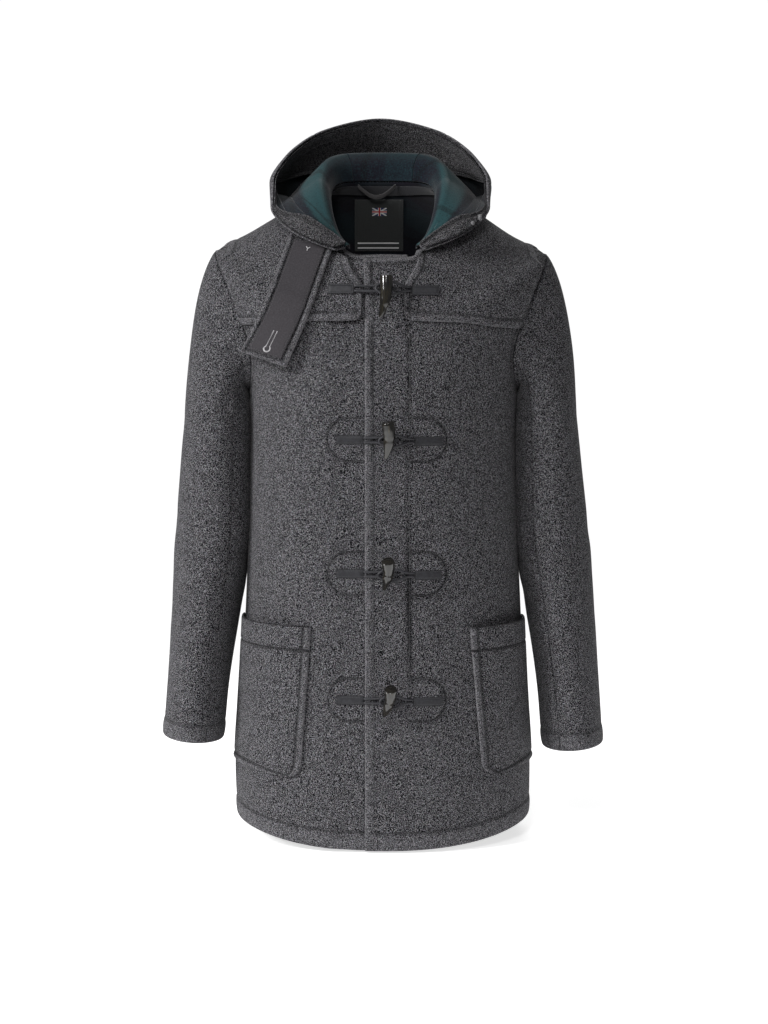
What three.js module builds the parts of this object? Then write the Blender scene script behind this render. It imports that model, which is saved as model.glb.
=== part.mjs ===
// A duffle coat of heavy wool cloth, filled out as it is when worn, with nobody in it.
// Millimetres, +Z up, the front towards -Y, the wearer's left side at +X.
// The origin is where the shoulders carry the coat: midway between the two points where
// the neck seam crosses the shoulder line.
import * as THREE from "three";

// Cloth and sewing
const CLOTH = 3; // thickness of the wool cloth
const SEAM = 0.3; // gap between two cloth edges that are sewn together
const LAID = 1; // gap under a piece that lies on another one
const STEP = 1e-3; // step used to measure a surface's slope

// The coat's chief sizes
const PLACKET_EDGE = -24; // x of the upper front's free edge, which laps over the other front
const UNDERLAP_EDGE = 35; // x of the lower front's free edge, hidden under the lap
const NECK_END = 46; // x where the hood and the yoke start on the neck seam
const CUFF_Z = { left: -748, right: -737 }; // height of the middle of each cuff

// The left shoulder sits this much lower and further in than the right one. That starts and is full at
// these levels of the body, fades out from the last one up to the neck, and has gone at this share of the arm.
const LEFT_SHOULDER = { drop: 5, inward: 5, starts: 0.66, full: 0.82, fades: 0.9, armShare: 0.7 };

// Names of the two sides, as the wearer has them
const SIDES = [
  { name: "left", sign: 1 },
  { name: "right", sign: -1 },
];

// A table's rows with each value under its column's name.
const tableOf = (columns, rows) =>
  rows.map((row) => Object.fromEntries(columns.map((column, i) => [column, row[i]])));

// The body's form, from the hem up to the neck seam. Each row is one closed loop round the body:
// its half width and height at the side, its depth and height at the centre front and centre back,
// how square it is (2 is an ellipse), and how far the front quarter dips below an even curve.
const TORSO = tableOf(
  ["v", "halfWidth", "sideZ", "frontY", "frontZ", "backY", "backZ", "square", "dip"],
  [
    [0.0, 202, -846, -150, -871, 152, -862, 2.3, 0],
    [0.08, 204, -776, -149, -788, 150, -785, 2.3, 0],
    [0.18, 199, -690, -147, -696, 145, -695, 2.3, 0],
    [0.34, 189, -555, -143, -557, 137, -557, 2.3, 0],
    [0.49, 184, -426, -139, -426, 130, -426, 2.3, 0],
    [0.62, 182, -322, -139, -322, 130, -320, 2.3, 0],
    [0.69, 184, -262, -138, -266, 132, -262, 2.3, 0],
    [0.76, 194, -200, -136, -222, 134, -204, 2.3, 0],
    [0.82, 211, -142, -132, -189, 132, -150, 2.25, 0],
    [0.88, 229, -72, -126, -154, 126, -95, 2.2, 0],
    [0.895, 206.5, -64.5, -124, -146, 122, -81, 2.2, 0],
    [0.912, 185, -56, -122, -136, 116, -65, 2.2, 1],
    [0.95, 138, -31, -113, -112, 96, -28, 2.25, 4],
    [0.98, 98, -10, -105, -89, 78, 4, 2.35, 10],
    [1.0, 73, 0, -98, -74, 65, 24, 2.5, 13.5],
  ],
);

// The armhole is an ellipse on that form, in its angle and its level.
const ARMHOLE = { low: 0.69, high: 0.88, frontAngle: 25, backAngle: 24 };

// The sleeve below the armhole, hanging beside the body. Each row is one ring: its outermost and
// innermost x, its foremost and rearmost y, and its height, which sinks a little towards the body.
const SLEEVE = tableOf(
  ["w", "outerX", "innerX", "frontY", "backY", "z"],
  [
    [0.0, 273, 191, -68, 78, -300],
    [0.3, 283, 191, -68, 78, -430],
    [0.6, 292, 203, -74, 72, -560],
    [0.85, 300, 215, -80, 54, -680],
    [1.0, 304, 221, -84, 44, -745],
  ],
);
const SLEEVE_TILT = 7; // how far a ring's outer side stands above its inner side
const SLEEVE_SEAMS = { front: 120, back: 240 }; // angles of the two long seams round the sleeve
const CUFF_SHIFT_FROM = 0.5; // share of the arm from which each cuff goes to its own height

// The hood, thrown back and standing open. Each row is one section, at an angle round the neck from
// the front: the fold where the stand turns over, the lowest line of the bag, how far the outer layer
// bulges, and the rim.
const HOOD = tableOf(
  ["angle", "foldOut", "foldUp", "lowOut", "lowZ", "bulge", "rimX", "rimY", "rimZ"],
  [
    [33, 4, 5, 11, -70, 1, 60, -103, -72],
    [50, 8, 8, 24, -51, 2, 93, -96, -60],
    [72, 12, 17, 42, -20, 3, 126, -72, -41],
    [92, 14, 24, 54, -2, 5, 147, -34, -14],
    [112, 16, 30, 74, -2, 14, 147, 4, 23],
    [132, 18, 34, 98, -78, 30, 129, 38, 59],
    [156, 20, 37, 102, -138, 42, 76, 76, 97],
    [180, 20, 38, 104, -158, 46, 0, 92, 113],
  ],
);
const HOOD_SHIFT = -4; // how far its open rim lies to the wearer's right
const HOOD_STRIP_HALF = 150; // angle where each side panel of the hood meets the middle strip
const HOOD_FACING = 45; // width of the cloth facing inside the hood's rim
const HOOD_RIM_SCALE = 300; // length of a section there for one step of its share
const FACING_LIFT = 1.7; // gap between the hood and its facing
const FACING_CLOTH = 2;

const radians = THREE.MathUtils.degToRad;
const degrees = THREE.MathUtils.radToDeg;
const lerp = THREE.MathUtils.lerp;
const clamp = THREE.MathUtils.clamp;
const smooth = (t) => THREE.MathUtils.smoothstep(t, 0, 1);
const vec = (x, y, z) => new THREE.Vector3(x, y, z);

// A smooth curve through a table's rows that never overshoots them, one function for each named column.
function columnsOf(table, key) {
  const knots = table.map((row) => row[key]);
  const read = {};
  for (const column of Object.keys(table[0])) {
    if (column === key) continue;
    const values = table.map((row) => row[column]);
    const rise = knots.slice(1).map((k, i) => (values[i + 1] - values[i]) / (k - knots[i]));
    const slope = values.map((value, i) => {
      if (i === 0) return rise[0];
      if (i === values.length - 1) return rise[i - 1];
      const before = rise[i - 1];
      const after = rise[i];
      return before * after <= 0 ? 0 : (2 * before * after) / (before + after);
    });
    read[column] = (at) => {
      const t = clamp(at, knots[0], knots[knots.length - 1]);
      let i = 0;
      while (i < knots.length - 2 && t > knots[i + 1]) i += 1;
      const span = knots[i + 1] - knots[i];
      const s = (t - knots[i]) / span;
      const s2 = s * s;
      const s3 = s2 * s;
      return (
        (2 * s3 - 3 * s2 + 1) * values[i] +
        (s3 - 2 * s2 + s) * span * slope[i] +
        (3 * s2 - 2 * s3) * values[i + 1] +
        (s3 - s2) * span * slope[i + 1]
      );
    };
  }
  return read;
}

const torso = columnsOf(TORSO, "v");

// How much of the left shoulder's difference there is at a level.
function shoulderLean(v) {
  const { starts, full, fades } = LEFT_SHOULDER;
  return smooth((v - starts) / (full - starts)) * (1 - smooth((v - fades) / (1 - fades)));
}

// The point of the body's form at an angle from the centre front and a level from hem to neck.
function torsoPoint(theta, v) {
  const s = Math.sin(theta);
  const c = Math.cos(theta);
  const power = 2 / torso.square(v);
  const x = torso.halfWidth(v) * Math.sign(s) * Math.abs(s) ** power;
  const y = (c > 0 ? torso.frontY(v) : torso.backY(v)) * Math.abs(c) ** power;
  const front = torso.frontZ(v);
  const back = torso.backZ(v);
  const side = torso.sideZ(v);
  const ends = (front + back) / 2;
  const tilt = ((front - back) / 2) * c;
  const level = (ends + side) / 2 + tilt + ((ends - side) / 2) * Math.cos(2 * theta);
  const dip = c > 0 ? torso.dip(v) * c * (c - Math.cos(3 * theta)) : 0;
  const lean = shoulderLean(v) * smooth(s);
  return vec(x - LEFT_SHOULDER.inward * lean, y, level - dip - LEFT_SHOULDER.drop * lean);
}

// The direction that points out of the cloth at that place.
function torsoNormal(theta, v) {
  const low = Math.max(v - STEP, 0);
  const high = Math.min(v + STEP, 1);
  const round = torsoPoint(theta + STEP, v).sub(torsoPoint(theta - STEP, v));
  const up = torsoPoint(theta, high).sub(torsoPoint(theta, low));
  return round.cross(up).normalize();
}

// That point, moved out of the form by a distance, or in if it is negative.
function onTorso(theta, v, out) {
  return torsoPoint(theta, v).addScaledVector(torsoNormal(theta, v), out);
}

// The angle at which a loop passes a given x, on the front or on the back.
function angleAt(x, v, back = false) {
  const share = clamp(Math.abs(x) / torso.halfWidth(v), 0, 1);
  const theta = Math.asin(share ** (torso.square(v) / 2));
  return Math.sign(x) * (back ? Math.PI - theta : theta);
}

// The angle and level of the place that a front or back view shows at x and z.
function locate(x, z, back = false) {
  let low = 0;
  let high = 1;
  for (let i = 0; i < 40; i += 1) {
    const v = (low + high) / 2;
    if (torsoPoint(angleAt(x, v, back), v).z < z) low = v;
    else high = v;
  }
  const v = (low + high) / 2;
  return { theta: angleAt(x, v, back), v };
}

// A point on the front at x and z, lifted off the cloth.
function onFront(x, z, out) {
  const { theta, v } = locate(x, z);
  return onTorso(theta, v, out);
}

// A closed solid from triangles over shared points, turned so that its faces point out.
function solid(points, triangles) {
  let volume = 0;
  for (const [a, b, c] of triangles) volume += points[a].dot(points[b].clone().cross(points[c]));
  const faces = volume < 0 ? triangles.map(([a, b, c]) => [a, c, b]) : triangles;
  const geometry = new THREE.BufferGeometry();
  geometry.setAttribute("position", new THREE.Float32BufferAttribute(points.flatMap((p) => p.toArray()), 3));
  geometry.setIndex(faces.flat());
  geometry.computeVertexNormals();
  return geometry;
}

// A cloth wall over a grid. pair(u, w) gives the outer and the inner point at each crossing.
function wall(us, ws, pair) {
  const outer = [];
  const inner = [];
  for (const w of ws) {
    for (const u of us) {
      const [out, into] = pair(u, w);
      outer.push(out);
      inner.push(into);
    }
  }
  const across = us.length;
  const count = outer.length;
  const at = (i, j) => j * across + i;
  const triangles = [];
  for (let j = 0; j < ws.length - 1; j += 1) {
    for (let i = 0; i < across - 1; i += 1) {
      const [a, b, c, d] = [at(i, j), at(i + 1, j), at(i + 1, j + 1), at(i, j + 1)];
      const shorter = outer[a].distanceTo(outer[c]) <= outer[b].distanceTo(outer[d]);
      const halves = shorter ? [[a, b, c], [a, c, d]] : [[a, b, d], [b, c, d]];
      for (const [p, q, r] of halves) {
        triangles.push([p, q, r]);
        triangles.push([p + count, r + count, q + count]);
      }
    }
  }
  const rim = [];
  for (let i = 0; i < across - 1; i += 1) rim.push(at(i, 0));
  for (let j = 0; j < ws.length - 1; j += 1) rim.push(at(across - 1, j));
  for (let i = across - 1; i > 0; i -= 1) rim.push(at(i, ws.length - 1));
  for (let j = ws.length - 1; j > 0; j -= 1) rim.push(at(0, j));
  rim.forEach((p, k) => {
    const q = rim[(k + 1) % rim.length];
    triangles.push([p, p + count, q]);
    triangles.push([q, p + count, q + count]);
  });
  return solid([...outer, ...inner], triangles);
}

// A closed solid through rings of the same number of points, with a flat end at each side.
function lofted(rings) {
  const around = rings[0].length;
  const points = rings.flat();
  const triangles = [];
  for (let j = 0; j < rings.length - 1; j += 1) {
    for (let i = 0; i < around; i += 1) {
      const k = (i + 1) % around;
      const [a, b, c, d] = [j * around + i, j * around + k, (j + 1) * around + k, (j + 1) * around + i];
      triangles.push([a, b, c], [a, c, d]);
    }
  }
  const last = (rings.length - 1) * around;
  for (let i = 1; i < around - 1; i += 1) {
    triangles.push([0, i + 1, i]);
    triangles.push([last, last + i, last + i + 1]);
  }
  return solid(points, triangles);
}

const even = (count, from = 0, to = 1) =>
  Array.from({ length: count + 1 }, (_, i) => lerp(from, to, i / count));

// Materials
const finish = (color, roughness) => new THREE.MeshStandardMaterial({ color, roughness });
const WOOL = finish(0x54545a, 0.95);
const TAPE = finish(0x1b1b22, 0.9);
const LABEL = finish(0x232526, 0.8);
const LINING = finish(0x3f3b42, 0.85);
const STRAP = finish(0x35343a, 0.7);
const CORD = finish(0x3a393f, 0.75);
const HORN = finish(0x1a1713, 0.3);

const coat = new THREE.Group();
function add(name, geometry, material) {
  const mesh = new THREE.Mesh(geometry, material);
  mesh.name = name;
  coat.add(mesh);
}

// Levels of the rows that the fronts and the back share, with the armhole's own rows in the middle
const ARMHOLE_STEPS = 12;
const armholeLevel = (phi) =>
  (ARMHOLE.low + ARMHOLE.high) / 2 + ((ARMHOLE.high - ARMHOLE.low) / 2) * Math.cos(phi);
const LEVELS = [
  ...even(9, 0, ARMHOLE.low).slice(0, -1),
  ...even(ARMHOLE_STEPS, 0, 1).map((t) => armholeLevel(Math.PI * (1 - t))),
  ...even(6, ARMHOLE.high, 1).slice(1),
];

// How far the cloth stops short of the side line at a level, because of the armhole, in radians.
function armholeCut(v, reach) {
  const half = (ARMHOLE.high - ARMHOLE.low) / 2;
  const share = (v - ARMHOLE.low - half) / half;
  return Math.abs(share) >= 1 ? 0 : radians(reach) * Math.sqrt(1 - share * share);
}

// Half of a seam's gap as an angle at the side line, with a little more for the slant of the seam.
const SLANT_SPARE = 1e-3;
const sideGap = (v) => SEAM / 2 / torso.halfWidth(v) + SLANT_SPARE;

// Moves a point of the under front in, where the other front laps over it.
const UNDERLAP_FADE = 34; // width over which the cloth steps in
const UNDERLAP_MARGIN = 20; // how far from the free edge it is fully in
const underlapInset = (x) =>
  (CLOTH + LAID) * smooth((x - PLACKET_EDGE + UNDERLAP_MARGIN + UNDERLAP_FADE) / UNDERLAP_FADE);

// The upper front's neck corner is cut a little lower than the lower one's.
const CORNER_DROP = { level: 0.008, from: 0.9, fade: 10 };

// One front, from its free edge to the side seam, armhole and shoulder.
function front({ name, sign }) {
  const upper = sign > 0;
  const edge = upper ? PLACKET_EDGE : UNDERLAP_EDGE;
  const neckDrop = upper ? CORNER_DROP.level : 0;
  const pair = (u, v) => {
    const start = angleAt(edge, v);
    const end = sign * (Math.PI / 2 - sideGap(v) - armholeCut(v, ARMHOLE.frontAngle));
    const theta = lerp(start, end, u);
    const x = torsoPoint(theta, v).x;
    const nearNeck = smooth((v - CORNER_DROP.from) / (1 - CORNER_DROP.from));
    const lowered = v - neckDrop * nearNeck * smooth((NECK_END - x) / CORNER_DROP.fade);
    const inset = upper ? 0 : underlapInset(x);
    return [onTorso(theta, lowered, -inset), onTorso(theta, lowered, -inset - CLOTH)];
  };
  add(`front_${name}`, wall(even(12), LEVELS, pair), WOOL);
}

// The back, in one piece from side seam to side seam.
function back() {
  const pair = (u, v) => {
    const reach = Math.PI / 2 - sideGap(v) - armholeCut(v, ARMHOLE.backAngle);
    const theta = Math.PI + reach * u;
    return [onTorso(theta, v, 0), onTorso(theta, v, -CLOTH)];
  };
  add("back", wall(even(18, -1, 1), LEVELS, pair), WOOL);
}

const arm = columnsOf(SLEEVE, "w");

// A point of the sleeve below the armhole. phi runs from the outside through the front to the inside.
function armPoint(phi, w, side) {
  const along = smooth((w - CUFF_SHIFT_FROM) / (1 - CUFF_SHIFT_FROM));
  const drop = (CUFF_Z[side.name] - SLEEVE[SLEEVE.length - 1].z) * along;
  const middleX = (arm.outerX(w) + arm.innerX(w)) / 2;
  const middleY = (arm.frontY(w) + arm.backY(w)) / 2;
  const x = middleX + ((arm.outerX(w) - arm.innerX(w)) / 2) * Math.cos(phi);
  const y = middleY - ((arm.backY(w) - arm.frontY(w)) / 2) * Math.sin(phi);
  const z = arm.z(w) + drop + (SLEEVE_TILT / 2) * Math.cos(phi);
  const inward = side.sign > 0 ? LEFT_SHOULDER.inward * (1 - smooth(w / LEFT_SHOULDER.armShare)) : 0;
  return vec(side.sign * (x - inward), y, z);
}

// The armhole's edge, with the cloth's normal there and the way that the body's cloth would run on.
function armholeEdge(phi, side) {
  const reach = radians(Math.sin(phi) >= 0 ? ARMHOLE.frontAngle : ARMHOLE.backAngle);
  const theta = side.sign * (Math.PI / 2 - reach * Math.sin(phi));
  const v = armholeLevel(phi);
  const normal = torsoNormal(theta, v);
  const nearly = 0.9; // a place this share of the way out from the armhole's middle
  const middle = (ARMHOLE.low + ARMHOLE.high) / 2;
  const inner = torsoPoint(
    side.sign * (Math.PI / 2 - reach * Math.sin(phi) * nearly),
    lerp(middle, v, nearly),
  );
  const point = torsoPoint(theta, v);
  return { point, normal, onward: inner.sub(point).normalize() };
}

// How the sleeve leaves the armhole and comes down to the arm, at the side by the body and outside
const SLEEVE_HEAD = {
  away: { inside: 24, outside: 100 },
  down: { inside: 0, outside: -110 },
  pull: { inside: 42, outside: 20 },
  arrive: { inside: 130, outside: 170 },
  rearPull: 0.8,
};
const SLEEVE_HEAD_ROWS = 8;
const SLEEVE_HEAD_CROWDING = 1.5; // how much closer its rows are at the armhole
const SLEEVE_ROWS = 7;
const SLEEVE_COLUMNS = { under: 8, upper: 16 };

// A point on the sleeve: the head for level 0 to 1, then the rest down to the cuff for 1 to 2.
function sleevePoint(phi, level, side) {
  if (level >= 1) return armPoint(phi, level - 1, side);
  const { point, onward } = armholeEdge(phi, side);
  const start = point.clone().addScaledVector(onward, SEAM);
  const end = armPoint(phi, 0, side);
  const outside = (1 + Math.cos(phi)) / 2;
  const between = (values) => lerp(values.inside, values.outside, outside);
  const away = vec(side.sign * between(SLEEVE_HEAD.away), 0, between(SLEEVE_HEAD.down));
  const rear = Math.max(-Math.sin(phi), 0);
  const pull = between(SLEEVE_HEAD.pull) * (1 - SLEEVE_HEAD.rearPull * rear);
  const leave = away.addScaledVector(onward, pull);
  const arrive = armPoint(phi, STEP, side).sub(end).setLength(between(SLEEVE_HEAD.arrive));
  const t = level;
  const t2 = t * t;
  const t3 = t2 * t;
  return start
    .multiplyScalar(2 * t3 - 3 * t2 + 1)
    .addScaledVector(leave, t3 - 2 * t2 + t)
    .addScaledVector(end, 3 * t2 - 2 * t3)
    .addScaledVector(arrive, t3 - t2);
}

function sleeveNormal(phi, level, side) {
  const edge = armholeEdge(phi, side).normal;
  if (level === 0) return edge;
  const round = sleevePoint(phi + STEP, level, side).sub(sleevePoint(phi - STEP, level, side));
  const high = Math.min(level + STEP, 2);
  const along = sleevePoint(phi, high, side).sub(sleevePoint(phi, level - STEP, side));
  return along.cross(round).multiplyScalar(-side.sign).normalize();
}

const SLEEVE_LEAST_RADIUS = 25; // the tightest curve across a long seam, which sets the seam's gap

// One of the sleeve's two cut pieces, between two angles round the arm.
function sleevePiece(name, side, from, to, count) {
  const levels = [
    ...even(SLEEVE_HEAD_ROWS).map((t) => t ** SLEEVE_HEAD_CROWDING),
    ...even(SLEEVE_ROWS, 1, 2).slice(1),
  ];
  const gap = SEAM / 2 / SLEEVE_LEAST_RADIUS;
  const pair = (phi, level) => {
    const out = sleevePoint(phi, level, side);
    return [out, out.clone().addScaledVector(sleeveNormal(phi, level, side), -CLOTH)];
  };
  const angles = even(count, radians(from) + gap, radians(to) - gap);
  add(`${name}_${side.name}`, wall(angles, levels, pair), WOOL);
}

function sleeve(side) {
  sleevePiece("sleeve_under", side, SLEEVE_SEAMS.front, SLEEVE_SEAMS.back, SLEEVE_COLUMNS.under);
  sleevePiece("sleeve_upper", side, SLEEVE_SEAMS.back - 360, SLEEVE_SEAMS.front, SLEEVE_COLUMNS.upper);
}

// The yoke lies on the fronts and the back. Each row is one line from the neck to the yoke's outer edge,
// by its share of the way from the free front edge round to the centre back.
const YOKE_LIFT = 1.5; // gap between the coat and the yoke
// How much further off it stands where it bends over the shoulder's edge, and over which levels
const YOKE_CREST = { lift: 6.3, level: 0.885, width: 0.034 };
const YOKE_ROWS = 8;
const YOKE_NECK = 0.987; // level of its edge along the neck seam
const YOKE_LOW_Z = -163; // height of its lower edge beside the toggles
// Its free front edge runs straight up beside the lap and then slants out to the neck seam.
const YOKE_FRONT = { x: 28, neckX: 46, neckZ: -84, bend: 0.5, corner: 10, fade: 0.2 };
const YOKE_CORNER = locate(YOKE_FRONT.x, YOKE_LOW_Z);
const YOKE_NECK_CORNER = locate(YOKE_FRONT.neckX, YOKE_FRONT.neckZ);
const YOKE_EDGE = tableOf(
  ["share", "neckTheta", "neckV", "theta", "v"],
  [
    [0.0, degrees(YOKE_NECK_CORNER.theta), 0.984, degrees(YOKE_CORNER.theta), YOKE_CORNER.v],
    [0.12, 42, YOKE_NECK, 25, 0.846],
    [0.24, 54, YOKE_NECK, 44, 0.822],
    [0.34, 66, YOKE_NECK, 62, 0.806],
    [0.42, 74, YOKE_NECK, 65, 0.846],
    [0.5, 82, YOKE_NECK, 74, 0.885],
    [0.56, 90, YOKE_NECK, 90, 0.896],
    [0.62, 100, YOKE_NECK, 106, 0.885],
    [0.7, 112, YOKE_NECK, 116, 0.846],
    [0.77, 126, YOKE_NECK, 120, 0.802],
    [0.88, 150, YOKE_NECK, 148, 0.798],
    [1.0, 180, YOKE_NECK, 180, 0.798],
  ],
);
const yokeEdge = columnsOf(YOKE_EDGE, "share");
const LEVEL_PER_MM = 0.0018; // change of level for a millimetre of height on the upper chest

// A point of the yoke: u is -1 at the right front edge, 0 at the centre back and 1 at the left front edge.
function yokePoint(u, w, out) {
  const share = 1 - Math.abs(u);
  const lowTheta = yokeEdge.theta(share);
  const lowX = torsoPoint(radians(lowTheta), yokeEdge.v(share)).x;
  const near = clamp(1 - (lowX - YOKE_FRONT.x) / YOKE_FRONT.corner, 0, 1);
  const corner = YOKE_FRONT.corner * (1 - Math.sqrt(1 - near * near)) * LEVEL_PER_MM;
  const v = lerp(yokeEdge.v(share) + corner, yokeEdge.neckV(share), w);
  const slant = smooth((w - YOKE_FRONT.bend) / (1 - YOKE_FRONT.bend));
  const edgeX = lerp(YOKE_FRONT.x, YOKE_FRONT.neckX, slant);
  const straight = degrees(angleAt(edgeX, v)) - lerp(yokeEdge.theta(0), yokeEdge.neckTheta(0), w);
  const fade = 1 - smooth(share / YOKE_FRONT.fade);
  const theta = lerp(lowTheta, yokeEdge.neckTheta(share), w) + straight * fade;
  const crest = Math.exp(-(((v - YOKE_CREST.level) / YOKE_CREST.width) ** 2)) * Math.sin(radians(theta));
  return onTorso(radians(u < 0 ? -theta : theta), v, out + YOKE_CREST.lift * crest);
}

function yoke() {
  const pair = (u, w) => [yokePoint(u, w, YOKE_LIFT + CLOTH), yokePoint(u, w, YOKE_LIFT)];
  const shares = [0, 0.004, 0.014, ...even(20, 0.045, 1)]; // close together at the rounded corner
  const rightHalf = shares.map((share) => share - 1);
  const leftHalf = shares.slice(0, -1).map((share) => 1 - share);
  const columns = [...rightHalf, ...leftHalf.reverse()];
  add("yoke", wall(columns, even(YOKE_ROWS), pair), WOOL);
}

// Mirrors the hood's sections past the centre back, so that both halves meet in an even curve.
const mirrored = HOOD.slice(0, -1)
  .map((row) => ({ ...row, angle: 360 - row.angle, rimX: -row.rimX }))
  .reverse();
const hoodTable = columnsOf([...HOOD, ...mirrored], "angle");

// The shape of a section, in shares of the fold's and the bulge's sizes: how round the fold is and how its
// sides drop, how the stand below it leans, how the cloth hangs round its lowest line, and where the bag's
// outer layer is fullest on its way to the rim. The sections spread from a point this far in front of the origin.
const HOOD_SHAPE = {
  centre: 18,
  foldRound: 0.28,
  foldInDrop: 0.45,
  foldOutDrop: 0.55,
  standOut: 0.2,
  standUp: 0.6,
  innerOut: 0.12,
  hang: 0.2,
  mostHang: 8,
  hangUp: 0.8,
  fullAt: 0.42,
  fullSag: 0.15,
  upperAt: 0.78,
  upperBulge: 0.7,
};

// The hood's section at an angle round the neck, as points from the neck seam to the rim.
function hoodSection(angle) {
  const theta = radians(angle);
  const base = torsoPoint(theta, 1);
  const rise = base.clone().sub(torsoPoint(theta, 1 - STEP)).normalize();
  const seam = base.clone().addScaledVector(rise, SEAM);
  const outward = vec(base.x, base.y + HOOD_SHAPE.centre, 0).normalize();
  const reach = (out, z) => vec(seam.x + outward.x * out, seam.y + outward.y * out, z);
  const t = hoodTable;
  const shape = HOOD_SHAPE;
  const [foldOut, foldUp, bulge] = [t.foldOut(angle), t.foldUp(angle), t.bulge(angle)];
  const fold = reach(foldOut, seam.z + foldUp);
  const low = reach(t.lowOut(angle), t.lowZ(angle));
  const rim = vec(t.rimX(angle) + HOOD_SHIFT, t.rimY(angle), t.rimZ(angle));
  const round = foldOut * shape.foldRound;
  const stand = reach(foldOut * shape.standOut, seam.z + foldUp * shape.standUp);
  const foldIn = reach(foldOut - round, seam.z + foldUp - round * shape.foldInDrop);
  const foldDown = reach(foldOut + round, seam.z + foldUp - round * shape.foldOutDrop);
  const inner = foldDown.clone().lerp(low, 0.5).addScaledVector(outward, foldOut * shape.innerOut);
  const hang = Math.min(bulge * shape.hang, shape.mostHang);
  const lowIn = low.clone().addScaledVector(outward, -hang).setZ(low.z + hang);
  const lowUp = low.clone().addScaledVector(outward, hang).setZ(low.z + hang * shape.hangUp);
  const full = low.clone().lerp(rim, shape.fullAt).addScaledVector(outward, bulge);
  full.z -= bulge * shape.fullSag;
  const upper = low.clone().lerp(rim, shape.upperAt);
  upper.addScaledVector(outward, bulge * shape.upperBulge);
  return [seam, stand, foldIn, fold, foldDown, inner, lowIn, low, lowUp, full, upper, rim];
}

const HOOD_KNOTS = [0, 0.07, 0.11, 0.13, 0.15, 0.3, 0.46, 0.48, 0.5, 0.68, 0.86, 1];
const sections = new Map();

// A point of the hood's wool face at an angle round the neck and a share of the way to the rim.
function hoodPoint(angle, w) {
  if (!sections.has(angle)) sections.set(angle, hoodSection(angle));
  const points = sections.get(angle);
  let i = 0;
  while (i < points.length - 2 && w > HOOD_KNOTS[i + 1]) i += 1;
  const span = HOOD_KNOTS[i + 1] - HOOD_KNOTS[i];
  const s = (w - HOOD_KNOTS[i]) / span;
  const slopeAt = (k) => {
    const a = Math.max(k - 1, 0);
    const b = Math.min(k + 1, points.length - 1);
    const share = span / (HOOD_KNOTS[b] - HOOD_KNOTS[a]);
    return points[b].clone().sub(points[a]).multiplyScalar(share);
  };
  const s2 = s * s;
  const s3 = s2 * s;
  return points[i]
    .clone()
    .multiplyScalar(2 * s3 - 3 * s2 + 1)
    .addScaledVector(slopeAt(i), s3 - 2 * s2 + s)
    .addScaledVector(points[i + 1], 3 * s2 - 2 * s3)
    .addScaledVector(slopeAt(i + 1), s3 - s2);
}

function hoodNormal(angle, w) {
  const turn = 0.05; // a small step round the neck, in degrees
  const round = hoodPoint(angle + turn, w).sub(hoodPoint(angle - turn, w));
  const along = hoodPoint(angle, Math.min(w + STEP, 1)).sub(hoodPoint(angle, Math.max(w - STEP, 0)));
  return round.cross(along).normalize();
}

const onHood = (angle, w, out) => hoodPoint(angle, w).addScaledVector(hoodNormal(angle, w), out);

const HOOD_ROWS = [
  ...[0, 0.06, 0.1, 0.13, 0.16, 0.23, 0.34, 0.43],
  ...[0.465, 0.495, 0.55, 0.63, 0.72, 0.8, 0.87, 0.935, 1],
];

const HOOD_LEAST_RADIUS = 30; // the tightest curve across a seam, which sets the seam's gap
const HOOD_COLUMNS = { side: 14, middle: 8, facing: 44 };

// One of the hood's three cut pieces, between two angles round the neck.
function hoodPiece(name, from, to, count) {
  const gap = degrees(SEAM / 2 / HOOD_LEAST_RADIUS);
  const pair = (angle, w) => [onHood(angle, w, 0), onHood(angle, w, -CLOTH)];
  add(name, wall(even(count, from + gap, to - gap), HOOD_ROWS, pair), WOOL);
}

// The facing is widest at the hood's front corners, where it reaches down to this share of a section,
// and it stands further off the hood there.
const FACING_CORNER = { share: 0.3, from: 40, fade: 55, lift: 2, rim: 0.994 };

// The band of cloth that faces the hood's rim on the inside.
function hoodFacing() {
  const pair = (angle, t) => {
    const fromFront = 180 - Math.abs(angle - 180);
    const corner = 1 - smooth((fromFront - FACING_CORNER.from) / FACING_CORNER.fade);
    const lowest = lerp(1 - HOOD_FACING / HOOD_RIM_SCALE, FACING_CORNER.share, corner);
    const w = lerp(lowest, FACING_CORNER.rim, t);
    const lift = FACING_LIFT + FACING_CORNER.lift * corner;
    return [onHood(angle, w, -CLOTH - lift), onHood(angle, w, -CLOTH - lift - FACING_CLOTH)];
  };
  const end = HOOD[0].angle + 1;
  add("hood_facing", wall(even(HOOD_COLUMNS.facing, end, 360 - end), even(4), pair), WOOL);
}

function hood() {
  const end = HOOD[0].angle;
  hoodPiece("hood_left", end, HOOD_STRIP_HALF, HOOD_COLUMNS.side);
  hoodPiece("hood_middle", HOOD_STRIP_HALF, 360 - HOOD_STRIP_HALF, HOOD_COLUMNS.middle);
  hoodPiece("hood_right", 360 - HOOD_STRIP_HALF, 360 - end, HOOD_COLUMNS.side);
  hoodFacing();
}

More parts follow.
